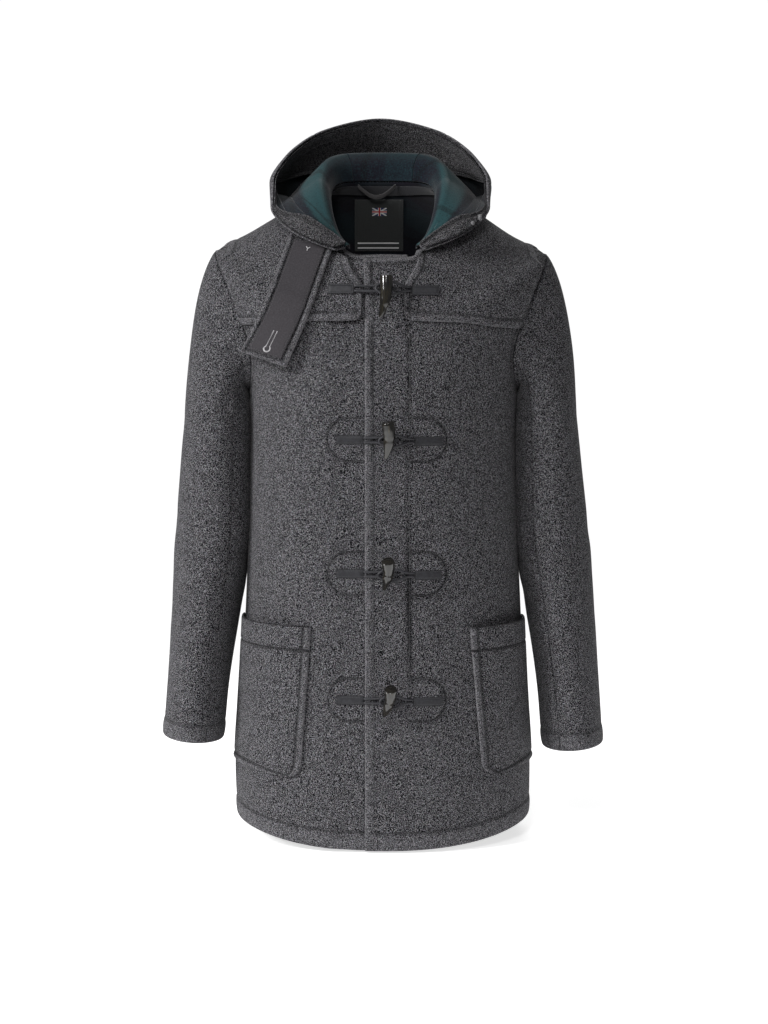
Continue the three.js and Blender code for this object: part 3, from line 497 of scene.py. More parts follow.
# The body's inner check is a much dimmer copy of the hood's: painted shade for the dark inside of the coat.
BODY_CHECK_SHADED = check("wool_check_shaded", (0.006, 0.005, 0.009), (0.007, 0.013, 0.017), (0.003, 0.003, 0.004), 118.0)


def tube(path, radii, around, aside):
    """Vertices and faces of a round rod along a path, closed at both ends."""
    path = np.asarray(path, float)
    along = unit(np.gradient(path, axis=0))
    aside = np.broadcast_to(np.asarray(aside, float), path.shape)
    e1 = unit(aside - (aside * along).sum(-1, keepdims=True) * along)
    e2 = np.cross(along, e1)
    turn = np.linspace(0, 2 * np.pi, around, endpoint=False)
    radii = np.broadcast_to(np.asarray(radii, float), (len(path),))
    ring = e1[:, None] * np.cos(turn)[None, :, None] + e2[:, None] * np.sin(turn)[None, :, None]
    vertices = (path[:, None] + ring * radii[:, None, None]).reshape(-1, 3)
    faces = []
    for j in range(len(path) - 1):
        for i in range(around):
            k = (i + 1) % around
            faces.append((j * around + i, j * around + k, (j + 1) * around + k, (j + 1) * around + i))
    faces.append(tuple(range(around))[::-1])
    faces.append(tuple(range((len(path) - 1) * around, len(path) * around)))
    return vertices, faces


THREAD = Finish("sewing_thread", Roughness=0.6, Sheen_Weight=0.3)
THREAD_TONE = THREAD.noise(900, 2).ramp(0.3, 0.7)
THREAD_MATERIAL = THREAD.feed(Base_Color=THREAD_TONE.mix((0.010, 0.010, 0.012), (0.045, 0.045, 0.05)))
STITCH = {"pitch": 4.2, "length": 3.1, "radius": 0.34, "proud": 0.12}


def stitches(name, lines, material=None, pitch=None, radius=None):
    """One row of thread after another, sunk into the cloth's face, as one piece."""
    pitch, radius = pitch or STITCH["pitch"], radius or STITCH["radius"]
    length = pitch * STITCH["length"] / STITCH["pitch"]
    vertices, faces = [], []
    for points, normals in lines:
        if len(points) < 2:
            continue
        far = np.concatenate([[0], np.cumsum(np.linalg.norm(np.diff(points, axis=0), axis=1))])
        for start in np.arange(0.5, far[-1] - length, pitch):
            at = start + length * np.array([0, 0.16, 0.5, 0.84, 1])
            place = np.stack([np.interp(at, far, points[:, k]) for k in range(3)], 1)
            out = unit(np.stack([np.interp(at, far, normals[:, k]) for k in range(3)], 1))
            rise = np.array([-0.9, 0.1, 0.5, 0.1, -0.9]) * radius + STITCH["proud"]
            size = np.array([0.45, 0.95, 1.0, 0.95, 0.45]) * radius
            got, made = tube(place + out * rise[:, None], size, 5, out)
            faces += [tuple(len(vertices) + i for i in f) for f in made]
            vertices += got.tolist()
    piece = mesh_object(name, vertices, faces, [material or THREAD_MATERIAL])
    return piece


# The doubled patch round each of the three lower fastenings, measured on each side of the lap
PATCH = {"left": 35.0, "right": -24.0, "straight": 22.0, "end": 28.0, "half": 29.0}


def patch_depth(x, z, side):
    """Distance from the patch's outline, negative inside it, at x and z of the front."""
    sign = 1 if side == "left" else -1
    away = sign * (x - PATCH[side])
    found = np.full(np.shape(x), 1e3)
    for level in FASTENING_Z[1:]:
        past = np.maximum(away - PATCH["straight"], 0) * PATCH["half"] / PATCH["end"]
        found = np.minimum(found, np.hypot(past, z - level) - PATCH["half"])
    return np.where(away > 0, found, 1e3)


def patch_lines(side):
    sign = 1 if side == "left" else -1
    turn = np.linspace(-np.pi / 2, np.pi / 2, 25)
    across = np.concatenate([[0], PATCH["straight"] + PATCH["end"] * np.cos(turn), [0]])
    up = np.concatenate([[-PATCH["half"]], PATCH["half"] * np.sin(turn), [PATCH["half"]]])
    for level in FASTENING_Z[1:]:
        x = PATCH[side] + sign * (across + 0.5)
        theta, v = locate(x, level + up)
        sunk = 0.0 if side == "left" else -1 * underlap_inset(x)
        yield torso_point(theta, v) + torso_normal(theta, v) * np.reshape(sunk - 0.3, (-1, 1)), torso_normal(theta, v)


def underlap_inset(x):
    return (CLOTH + LAID) * smooth((x - PLACKET_EDGE + 54) / 34)


def drape(x, z):
    """The soft unevenness of heavy cloth that hangs filled out, in millimetres."""
    slow = np.sin(x / 47 + z / 190 + 0.6) * np.sin(z / 83 + 1.1)
    fine = np.sin(x / 23 - z / 61 + 2.0) * np.sin(z / 37 + x / 71)
    below = smooth((-z - 420) / 260)
    flare = np.sin(x / 31 + 0.9) * below
    return 0.9 * slow + 0.35 * fine + 1.1 * flare


def front(name, sign):
    upper = sign > 0
    edge = PLACKET_EDGE if upper else UNDERLAP_EDGE
    height = 791.0
    rows = stations(height, 5.6, (TURN,), [(12, 30, 1.7)] + [
        (level + 871 - 33, level + 871 + 33, 2.0) for level in FASTENING_Z[1:]
    ])
    _, v = locate(np.zeros(len(rows)), -871 + height * rows)
    v[0], v[-1] = 0.0, 1.0
    width = 262.0
    if upper:
        columns = stations(width, 4.6, (TURN, PLACKET_STITCH - PLACKET_EDGE), [(56, 114, 2.0)])
    else:
        columns = stations(width, 4.6, (), [(56, 116, 2.0)])
    u, v = np.meshgrid(columns, v)
    armhole_half = (ARMHOLE["high"] - ARMHOLE["low"]) / 2
    share = np.clip((v - ARMHOLE["low"] - armhole_half) / armhole_half, -1, 1)
    cut = ARMHOLE["front"] * np.sqrt(1 - share**2)
    theta = lerp(angle_at(edge, v), sign * (np.pi / 2 - cut), u)
    x = torso_point(theta, v)[..., 0]
    lowered = v - (0.008 if upper else 0) * smooth((v - 0.9) / 0.1) * smooth((NECK_END - x) / 10)
    points, normals = torso_point(theta, lowered), torso_normal(theta, lowered)
    inset = 0 * x if upper else underlap_inset(x)
    points = points - normals * inset[..., None]
    z = points[..., 2]
    depth = patch_depth(x, z, "left" if upper else "right")
    relief = 1.0 * (1 - smooth((depth + 6) / 6))
    relief = relief + drape(x, z) * smooth((np.abs(x - 8) - 26) / 60) * smooth((-150 - z) / 120)
    # The patch outlines, the armhole stitching and the placket stitching sink a groove that is also darkened in colour:
    # painted shade.
    sewn = 0.8 * bell((depth + 0.3) / 1.7) * (depth < 900)
    from_armhole = lengths_from(points, 1)[1]
    armhole = smooth((v - ARMHOLE["low"]) / 0.01) * smooth((ARMHOLE["high"] - v) / 0.01)
    sewn = np.maximum(sewn, 0.85 * armhole * bell((from_armhole - ARMHOLE_STITCH) / 1.8))
    if upper:
        sewn = np.maximum(sewn, bell((x - PLACKET_STITCH) / 1.8) * smooth((YOKE_LOW_Z - z) / 4))
    panel = Panel(
        f"front_{name}", points, normals, CLOTH, [WOOL, BODY_CHECK_SHADED],
        turned={"left": TURN, "low": HEM, "high": TURN} if upper else {"low": HEM, "high": TURN},
        relief=relief, sewn=sewn, sunk=0.6,
    )
    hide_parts(f"front_{name}")
    return panel


left_front = front("left", 1)
right_front = front("right", -1)


def placket_line(x, low, high):
    z = np.linspace(low, high, 240)
    theta, v = locate(np.full(z.shape, x), z)
    normal = torso_normal(theta, v)
    return torso_point(theta, v) - normal * 0.35, normal


stitches("stitches_front_left", [
    left_front.line("left", TURN, HEM, TURN),
    left_front.line("low", HEM, 0, 3),
    left_front.line("high", TURN, TURN, 0),
    placket_line(PLACKET_STITCH, -846, YOKE_LOW_Z - 4),
    *patch_lines("left"),
])
stitches("stitches_front_right", [
    right_front.line("low", HEM, 8, 3),
    *patch_lines("right"),
])

# The back
# One piece of the same coating from side seam to side seam, with its hem turned and stitched like
# the fronts'. It hangs from the shoulders and neck under the yoke.


def back():
    height = 862 + 24.0
    rows = stations(height, 5.6, (), [(12, 32, 1.7)])
    _, v = locate(np.zeros(len(rows)), -862 + height * rows, True)
    v[0], v[-1] = 0.0, 1.0
    u, v = np.meshgrid(2 * stations(470, 4.8) - 1, v)
    half = (ARMHOLE["high"] - ARMHOLE["low"]) / 2
    share = np.clip((v - ARMHOLE["low"] - half) / half, -1, 1)
    reach = np.pi / 2 - ARMHOLE["back"] * np.sqrt(1 - share**2)
    theta = np.pi + reach * u
    points, normals = torso_point(theta, v), torso_normal(theta, v)
    x, z = points[..., 0], points[..., 2]
    relief = drape(x + 55, z + 30) * 1.5 * smooth((-190 - z) / 150)
    relief = relief * smooth((1 - np.abs(u)) / 0.08)
    panel = Panel("back", points, normals, CLOTH, [WOOL, BODY_CHECK_SHADED], turned={"low": HEM}, relief=relief, sunk=0.6)
    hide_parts("back")
    return panel


back_panel = back()
stitches("stitches_back", [back_panel.line("low", HEM, 3, 3)])

# The sleeves
# Each is cut in two pieces, a wide upper and a narrow under one, joined by a front and a rear seam,
# set into the armhole with a stitched seam and hemmed at the cuff. They hang filled out beside the body.

CUFF_Z = {"left": -748.0, "right": -737.0}
CUFF_HEM = 23.0
sleeve_rings = Table(
    "w outer_x inner_x front_y back_y z",
    (
        (0.0, 273, 178, -68, 78, -300),
        (0.3, 283, 178.5, -68, 78, -430),
        (0.6, 292, 197, -74, 72, -560),
        (0.85, 300, 215, -80, 54, -680),
        (1.0, 304, 221, -84, 44, -745),
    ),
)
SLEEVE_TILT = 7
SLEEVE_SEAMS = {"front": 120, "back": 240}


def arm_point(phi, w, side, sign):
    t = sleeve_rings
    drop = (CUFF_Z[side] + 745) * smooth((w - 0.5) / 0.5)
    inward = LEFT_SHOULDER["inward"] * (1 - smooth(w / 0.7)) if sign > 0 else 0
    outer, inner, fore, rear = t.outer_x(w) - inward, t.inner_x(w), t.front_y(w), t.back_y(w)
    x = (outer + inner) / 2 + (outer - inner) / 2 * np.cos(phi)
    y = (fore + rear) / 2 - (rear - fore) / 2 * np.sin(phi)
    z = t.z(w) + drop + SLEEVE_TILT / 2 * np.cos(phi)
    return point(sign * x, y, z)


def sleeve_point(phi, level, side, sign):
    reach = np.where(np.sin(phi) >= 0, ARMHOLE["front"], ARMHOLE["back"])
    middle, half = (ARMHOLE["low"] + ARMHOLE["high"]) / 2, (ARMHOLE["high"] - ARMHOLE["low"]) / 2
    theta, v = sign * (np.pi / 2 - reach * np.sin(phi)), middle + half * np.cos(phi)
    edge = torso_point(theta, v)
    inner = torso_point(sign * (np.pi / 2 - reach * np.sin(phi) * 0.9), lerp(middle, v, 0.9))
    onward = unit(inner - edge)
    end = arm_point(phi, 0 * phi, side, sign)
    outside = (1 + np.cos(phi)) / 2
    pull = lerp(42, 20, outside) * (1 - 0.8 * np.maximum(-np.sin(phi), 0))
    leave = point(sign * lerp(24, 100, outside), 0, lerp(0, -110, outside)) + onward * pull[..., None]
    arrive = unit(arm_point(phi, 0 * phi + STEP, side, sign) - end) * lerp(130, 170, outside)[..., None]
    t = np.clip(level, 0, 1)[..., None]
    head = (
        edge * (2 * t**3 - 3 * t**2 + 1) + leave * (t**3 - 2 * t**2 + t)
        + end * (3 * t**2 - 2 * t**3) + arrive * (t**3 - t**2)
    )
    lower = arm_point(phi, np.clip(level - 1, 0, 1), side, sign)
    return np.where(level[..., None] >= 1, lower, head), torso_normal(theta, v)


def creases(phi, level):
    """Soft folds across the elbow and below the armhole, deepest at the inside of the bend."""
    inside = (1 - np.cos(phi)) / 2
    fore = 0.5 + 0.5 * np.sin(phi)
    folds = 0.0
    for at, slant, depth, width in (
        (1.32, 0.10, 2.4, 0.035), (1.41, -0.08, 2.0, 0.03), (1.24, 0.16, 1.5, 0.035),
        (0.86, 0.22, 1.8, 0.05), (1.58, 0.07, 1.1, 0.035),
    ):
        line = level - at - slant * np.sin(phi + 0.5)
        folds = folds - depth * bell(line / width) + 0.7 * depth * bell((line - 1.9 * width) / (1.4 * width))
    slow = np.sin(3 * phi + 5 * level) * 0.9 + np.sin(2 * phi - 9 * level + 1) * 0.6
    return folds * (0.25 + 0.75 * inside) * (0.5 + 0.5 * fore) + slow * smooth((level - 0.3) / 0.5)


def sleeve_piece(name, side, sign, start, end, width, flat, area):
    columns = lerp(math.radians(start), math.radians(end), stations(width, 4.2))
    head = stations(205, 4.0)
    lower = 1 + stations(452, 5.0, (452 - CUFF_HEM,))
    rows = np.concatenate([head[:-1] ** 1.15, lower[1:] if lower[0] == 1 else lower])
    phi, level = np.meshgrid(columns, rows)
    points, hole_normal = sleeve_point(phi, level, side, sign)
    around = sleeve_point(phi + STEP, level, side, sign)[0] - sleeve_point(phi - STEP, level, side, sign)[0]
    after = sleeve_point(phi, np.minimum(level + STEP, 2), side, sign)[0]
    before = sleeve_point(phi, np.maximum(level - STEP, 0), side, sign)[0]
    normals = unit(np.cross(after - before, around) * -sign)
    normals = unit(lerp(hole_normal, normals, smooth(level / 0.06)[..., None]))
    relief = creases(phi if sign > 0 else phi + 0.4, level if sign > 0 else level + 0.03)
    relief = relief * smooth(level / 0.12) * smooth((2 - level) / 0.08)
    low, high = math.radians(start), math.radians(end)
    relief = relief * smooth((phi - low) / 0.12) * smooth((high - phi) / 0.12)
    panel = Panel(
        f"{name}_{side}", points, normals, CLOTH, [WOOL, BODY_CHECK_SHADED], turned={"high": CUFF_HEM}, relief=relief,
        seams={"left": 0.25, "right": 0.25}, sunk=0.4,
    )
    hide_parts(f"{name}_{side}")
    return panel


for side, sign in (("left", 1), ("right", -1)):
    under = sleeve_piece("sleeve_under", side, sign, *SLEEVE_SEAMS.values(), 130, (0.16, 0.56), 0.072)
    upper = sleeve_piece(
        "sleeve_upper", side, sign, SLEEVE_SEAMS["back"] - 360, SLEEVE_SEAMS["front"], 260, (0.34, 0.68), 0.165
    )
    stitches(f"stitches_sleeve_{side}", [
        upper.line("high", CUFF_HEM, 2, 2),
        under.line("high", CUFF_HEM, 2, 2),
    ])

# The yoke
# A second layer of the coating over the shoulders, the upper chest and the upper back, cut in one
# piece. Its edge is turned under and stitched down all round, with rounded corners beside the lap.

YOKE_LIFT = 1.5
YOKE_CREST = {"lift": -1.1, "level": 0.885, "width": 0.034}
YOKE_TURN = 12.0
YOKE_FRONT = {"x": 28.0, "neck_x": 46.0, "bend": 0.5, "corner": 10.0, "fade": 0.2}
LEVEL_PER_MM = 0.0018
YOKE_CORNER = [float(a) for a in locate(28.0, YOKE_LOW_Z)]
yoke_edge = Table(
    "share neck_theta neck_v theta v",
    (
        (0.0, math.degrees(float(locate(46.0, -84.0)[0])), 0.984, math.degrees(YOKE_CORNER[0]), YOKE_CORNER[1]),
        (0.12, 42, 0.987, 25, 0.846),
        (0.24, 54, 0.987, 44, 0.822),
        (0.34, 66, 0.987, 62, 0.806),
        (0.42, 74, 0.987, 65, 0.846),
        (0.5, 82, 0.987, 74, 0.887),
        (0.56, 90, 0.987, 90, 0.893),
        (0.62, 100, 0.987, 106, 0.887),
        (0.7, 112, 0.987, 116, 0.846),
        (0.77, 126, 0.987, 120, 0.802),
        (0.88, 150, 0.987, 148, 0.798),
        (1.0, 180, 0.987, 180, 0.798),
    ),
)


def yoke_place(u, w):
    share = 1 - np.abs(u)
    low_theta, low_v = yoke_edge.theta(share), yoke_edge.v(share)
    low_x = torso_point(np.radians(low_theta), low_v)[..., 0]
    near = np.clip(1 - (low_x - YOKE_FRONT["x"]) / YOKE_FRONT["corner"], 0, 1)
    corner = YOKE_FRONT["corner"] * (1 - np.sqrt(1 - near**2)) * LEVEL_PER_MM
    v = lerp(low_v + corner, yoke_edge.neck_v(share), w)
    slant = smooth((w - YOKE_FRONT["bend"]) / (1 - YOKE_FRONT["bend"]))
    edge_x = lerp(YOKE_FRONT["x"], YOKE_FRONT["neck_x"], slant)
    straight = np.degrees(angle_at(edge_x, v)) - lerp(yoke_edge.theta(0.0), yoke_edge.neck_theta(0.0), w)
    fade = 1 - smooth(share / YOKE_FRONT["fade"])
    theta = lerp(low_theta, yoke_edge.neck_theta(share), w) + straight * fade
    crest = bell((v - YOKE_CREST["level"]) / YOKE_CREST["width"]) * np.sin(np.radians(theta))
    return np.radians(np.where(u < 0, -theta, theta)), v, YOKE_CREST["lift"] * crest


def yoke():
    half = stations(620, 3.6, (YOKE_TURN,), [(0, 30, 1.5)]) * 0.5
    half = half[half <= 0.5]
    shares = half * 2
    shares[-1] = 1.0
    us = np.concatenate([shares - 1, (1 - shares[:-1])[::-1]])
    us = us[np.concatenate([[True], np.diff(us) > 1e-6])]
    ws = stations(150, 3.4, (YOKE_TURN,))
    u, w = np.meshgrid(us, ws)
    theta, v, crest = yoke_place(u, w)
    normals = torso_normal(theta, v)
    points = torso_point(theta, v) + normals * (crest + YOKE_LIFT + CLOTH)[..., None]
    x, z = points[..., 0], points[..., 2]
    relief = 0.5 * np.sin(x / 29 + 1) * np.sin(z / 21 + x / 60)
    panel = Panel(
        "yoke", points, normals, CLOTH, [WOOL, WOOL],
        turned={"left": YOKE_TURN, "right": YOKE_TURN, "low": YOKE_TURN}, relief=relief, puff=0.7, sunk=0.55,
    )
    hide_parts("yoke")
    return panel


yoke_panel = yoke()
stitches("stitches_yoke", [
    yoke_panel.line("left", YOKE_TURN, YOKE_TURN, 4),
    yoke_panel.line("low", YOKE_TURN, YOKE_TURN, YOKE_TURN),
    yoke_panel.line("right", YOKE_TURN, YOKE_TURN, 4),
])

# The hood
# Two side panels and a strip along the middle, sewn to the neck seam and thrown back, so the stand
# turns over outwards and the bag hangs open behind. The rim is turned over a facing and stitched.

HOOD_SHIFT = -4
HOOD_STRIP_HALF = 150
RIM_TURN = 18.0
hood_rows = (
    (33, 4, 5, 11, -70, 1, 60, -103, -72),
    (50, 8, 8, 24, -51, 2, 93, -96, -60),
    (72, 12, 17, 42, -20, 3, 126, -72, -41),
    (92, 14, 24, 54, -2, 5, 147, -34, -14),
    (112, 16, 30, 74, -2, 14, 147, 4, 23),
    (132, 18, 34, 98, -78, 30, 129, 38, 59),
    (156, 20, 37, 102, -138, 42, 76, 76, 97),
    (180, 20, 38, 104, -158, 46, 0, 92, 113),
)
other_half = [(360 - r[0], *r[1:6], -r[6], *r[7:]) for r in hood_rows[-2::-1]]
hood_table = Table("angle fold_out fold_up low_out low_z bulge rim_x rim_y rim_z", [*hood_rows, *other_half])
HOOD_KNOTS = np.array([0, 0.07, 0.11, 0.13, 0.15, 0.3, 0.46, 0.48, 0.5, 0.68, 0.86, 1])


def hood_section(angle):
    """Twelve points from the neck seam to the rim, for each angle round the neck."""
    t, theta, one = hood_table, np.radians(angle), np.ones(len(angle))
    base = torso_point(theta, one)
    seam = base
    flat = point(base[..., 0], base[..., 1] + 18, 0 * one)
    outward = unit(flat)
    out, up, bulge = t.fold_out(angle), t.fold_up(angle), t.bulge(angle)

    def reach(far, z):
        made = seam + outward * np.asarray(far)[..., None]
        made[..., 2] = z
        return made

    def beside(place, far, drop=0.0):
        made = place + outward * np.asarray(far)[..., None]
        made[..., 2] += drop
        return made

    base_z = seam[..., 2]
    low = reach(t.low_out(angle), t.low_z(angle))
    rim = point(t.rim_x(angle) + HOOD_SHIFT, t.rim_y(angle), t.rim_z(angle))
    around = out * 0.28
    fold_down = reach(out + around, base_z + up - around * 0.55)
    hang = np.minimum(bulge * 0.2, 8)
    return np.stack([
        seam,
        reach(out * 0.2, base_z + up * 0.6),
        reach(out - around, base_z + up - around * 0.45),
        reach(out, base_z + up),
        fold_down,
        beside(lerp(fold_down, low, 0.5), out * 0.12),
        beside(low, -hang, hang),
        low,
        beside(low, hang, hang * 0.8),
        beside(lerp(low, rim, 0.42), bulge, -bulge * 0.15),
        beside(lerp(low, rim, 0.78), bulge * 0.7),
        rim,
    ])


def hood_point(angle, w):
    """The hood's wool face over a grid with the angles along its rows."""
    knots, points = HOOD_KNOTS, hood_section(angle[0])
    share = w[:, 0]
    i = np.clip(np.searchsorted(knots, share, side="left") - 1, 0, len(knots) - 2)
    span = (knots[i + 1] - knots[i])[:, None, None]
    s = ((share - knots[i]) / (knots[i + 1] - knots[i]))[:, None, None]

    def slope(k):
        a, b = np.maximum(k - 1, 0), np.minimum(k + 1, len(knots) - 1)
        return (points[b] - points[a]) * span / (knots[b] - knots[a])[:, None, None]

    return (
        points[i] * (2 * s**3 - 3 * s**2 + 1) + slope(i) * (s**3 - 2 * s**2 + s)
        + points[i + 1] * (3 * s**2 - 2 * s**3) + slope(i + 1) * (s**3 - s**2)
    )


def hood_grid(angles, shares):
    angle, w = np.meshgrid(angles, shares)
    around = hood_point(angle + 0.05, w) - hood_point(angle - 0.05, w)
    along = hood_point(angle, np.minimum(w + STEP, 1)) - hood_point(angle, np.maximum(w - STEP, 0))
    return hood_point(angle, w), unit(np.cross(around, along)), angle, w


def hood_shares(length):
    fine = [(0.09 * length, 0.2 * length, 2.6), (0.44 * length, 0.53 * length, 2.6)]
    return stations(length, 4.4, (length - RIM_TURN,), fine)


HOOD_CHECK = check("hood_check", (0.007, 0.007, 0.013), (0.017, 0.052, 0.058), (0.003, 0.003, 0.004), 118.0, hood=True)
# The facing wool is a darker copy of the coat's wool: painted shade for the hood's inside, which faces down and away
# from the light.
FACING_WOOL_SHADED = melange("facing_wool_shaded", (0.001, 0.001, 0.0015), (0.016, 0.016, 0.018), (0.19, 0.185, 0.195))


def hood_piece(name, start, end, width, length):
    angles = lerp(start, end, stations(width, 4.2))
    points, normals, angle, w = hood_grid(angles, hood_shares(length))
    behind = smooth((90 - np.abs(angle - 180)) / 60)
    relief = 1.6 * behind * np.sin(np.radians(angle) * 9 + 7 * w) * smooth((w - 0.5) / 0.1) * smooth((0.93 - w) / 0.1)
    relief = relief + 0.8 * np.sin(np.radians(angle) * 5 - 11 * w) * smooth((w - 0.15) / 0.1) * smooth((0.95 - w) / 0.1)
    ends = np.minimum(angle - start, end - angle)
    relief = relief * smooth(ends / 5)
    panel = Panel(
        name, points, normals, CLOTH, [WOOL, HOOD_CHECK], turned={"high": RIM_TURN}, relief=relief,
        seams={"left": 0.5, "right": 0.5}, puff=2.2,
    )
    panel.note("round", angle, w)
    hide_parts(name)
    return panel


hood_panels = [
    hood_piece("hood_left", 33, HOOD_STRIP_HALF, 250, 230),
    hood_piece("hood_middle", HOOD_STRIP_HALF, 360 - HOOD_STRIP_HALF, 180, 470),
    hood_piece("hood_right", 360 - HOOD_STRIP_HALF, 327, 250, 230),
]
stitches("stitches_hood", [panel.line("high", RIM_TURN, 1, 1) for panel in hood_panels])


def hood_facing():
    angles = lerp(34, 326, stations(620, 4.4))
    shares = stations(60, 3.4, (60 - RIM_TURN,))
    angle, t = np.meshgrid(angles, shares)
    corner = 1 - smooth((180 - np.abs(angle - 180) - 40) / 55)
    w = lerp(lerp(1 - 45 / 300, 0.3, corner), 0.994, t)
    # The facing's rows aren't level ones, so each column is read from the hood by its own shares.
    base, normal = np.zeros((*angle.shape, 3)), np.zeros((*angle.shape, 3))
    for k in range(angle.shape[1]):
        p, n, _, _ = hood_grid(angle[0, k:k + 1], w[:, k])
        base[:, k], normal[:, k] = p[:, 0], n[:, 0]
    for _ in range(40):
        normal[1:-1] = (normal[:-2] + 2 * normal[1:-1] + normal[2:]) / 4
        normal[:, 1:-1] = (normal[:, :-2] + 2 * normal[:, 1:-1] + normal[:, 2:]) / 4
    normal = unit(normal)
    points = base - normal * (CLOTH + 3.2 + 3.5 * corner * (1 - t))[..., None]
    # The facing wears the darker, painted-shade copy of the wool.
    panel = Panel("hood_facing", points, -normal, 2.0, [FACING_WOOL_SHADED, WOOL], turned={"low": 6.0})
    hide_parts("hood_facing")
    return panel


facing_panel = hood_facing()
stitches("stitches_hood_facing", [facing_panel.line("high", RIM_TURN, 1, 1), facing_panel.line("low", 6.0, 1, 1)])

STUD = Finish("hood_stud", Roughness=0.55, Sheen_Weight=0.3)
stud_tone = STUD.noise(1400, 2).ramp(0.35, 0.65)
STUD_MATERIAL = STUD.feed(Base_Color=stud_tone.mix((0.035, 0.035, 0.038), (0.22, 0.22, 0.23)))


def hood_studs():
    """Three small covered buttons just inside the rim at the left."""
    vertices, faces = [], []
    columns = facing_panel.face.shape[1]
    for share, row in ((0.172, 0.59), (0.142, 0.72), (0.172, 0.93)):
        j, column = int(row * (facing_panel.face.shape[0] - 1)), int(share * columns)
        at, out = facing_panel.face[j, column], facing_panel.normals[j, column]
        rise = np.array([-1.5, 0.6, 1.8, 2.6, 2.9])[:, None]
        got, made = tube(at + out * rise, [2.7, 2.9, 2.4, 1.2, 0.2], 14, (1, 0, 0))
        faces += [tuple(len(vertices) + i for i in f) for f in made]
        vertices += got.tolist()
    mesh_object("hood_studs", vertices, faces, [STUD_MATERIAL])


hood_studs()

# The throat tab
# A strap of the coating lined with plain dark cloth, sewn into the neck seam at the right and left
# undone, so it hangs lining outwards with its free end curling up. It has a worked keyhole buttonhole.

TAB = {"x": -98.0, "z": -78.0, "end_x": -149.0, "end_z": -214.0, "width": 60.0, "lift": 8.0, "curl": 6.0, "slant": 14.0}
TAB_LINING = {"cloth": 1.2, "inset": 9.0}
TAB_TUCK = 15.0      # how far it runs on under the hood
TAB_LEAN = math.atan2(TAB["end_x"] - TAB["x"], TAB["z"] - TAB["end_z"])
TAB_LENGTH = math.hypot(TAB["end_x"] - TAB["x"], TAB["z"] - TAB["end_z"])


def tab_place(across, t, inset, out):
    half = TAB["width"] / 2 - inset
    along = lerp(inset - TAB_TUCK - TAB["slant"] * (1 + across) / 2, TAB_LENGTH - inset, t)
    x = TAB["x"] + math.sin(TAB_LEAN) * along + math.cos(TAB_LEAN) * across * half
    z = TAB["z"] - math.cos(TAB_LEAN) * along + math.sin(TAB_LEAN) * across * half
    theta, v = locate(x, z)
    normal = torso_normal(theta, v)
    height = TAB["lift"] + TAB["curl"] * smooth((t - 0.6) / 0.4) + out
    return torso_point(theta, v) + normal * height[..., None], normal


LINING = Finish("tab_lining_cloth", Sheen_Weight=0.25, Sheen_Roughness=0.4)
twill = LINING.attribute("cut").parts()
ribs = ((twill[0] + twill[1]) * 3.2).math("SINE") * 0.5 + 0.5
grain = LINING.noise(640, 2, 0.6)
LINING_MATERIAL = LINING.feed(
    Base_Color=(grain.ramp(0.3, 0.75) * 0.7 + ribs * 0.3).mix((0.012, 0.010, 0.013), (0.040, 0.035, 0.041)),
    Roughness=0.75 + 0.15 * grain,
    Normal=LINING.bump(ribs * 0.5 + grain, 0.35, 0.0006),
)
TAB_TURN = 8.5
TAB_FACE = CLOTH + SEAM + TAB_LINING["cloth"]
tab_across, tab_t = np.meshgrid(2 * stations(60, 2.6, (7,)) - 1, stations(150, 3.0))
points, normals = tab_place(tab_across, tab_t, 0.0, np.full(tab_t.shape, CLOTH))
tab_panel = Panel(
    "throat_tab", points, normals, CLOTH, [WOOL, WOOL],
    turned=dict.fromkeys(("left", "right", "low", "high"), TAB_TURN),
)
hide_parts("throat_tab")
tab_across, tab_t = np.meshgrid(2 * stations(46, 2.6, (3,)) - 1, stations(136, 3.0, (3,)))
points, normals = tab_place(tab_across, tab_t, TAB_LINING["inset"], np.full(tab_t.shape, TAB_FACE))
lining_panel = Panel("throat_tab_lining", points, normals, TAB_LINING["cloth"], [LINING_MATERIAL])
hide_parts("throat_tab_lining")
tab_thread = [lining_panel.line(edge, 2.2, 2.2, 2.2) for edge in ("left", "right", "low", "high")]
stitches("stitches_throat_tab", tab_thread)

BUTTONHOLE = {"t": 0.80, "length": 20.0, "half": 1.7, "eye": 3.3}
SILK = Finish("buttonhole_silk", Roughness=0.5, Sheen_Weight=0.3)
SILK_MATERIAL = SILK.feed(Base_Color=SILK.noise(1500, 2).ramp(0.3, 0.7).mix((0.42, 0.41, 0.43), (0.75, 0.74, 0.75)))


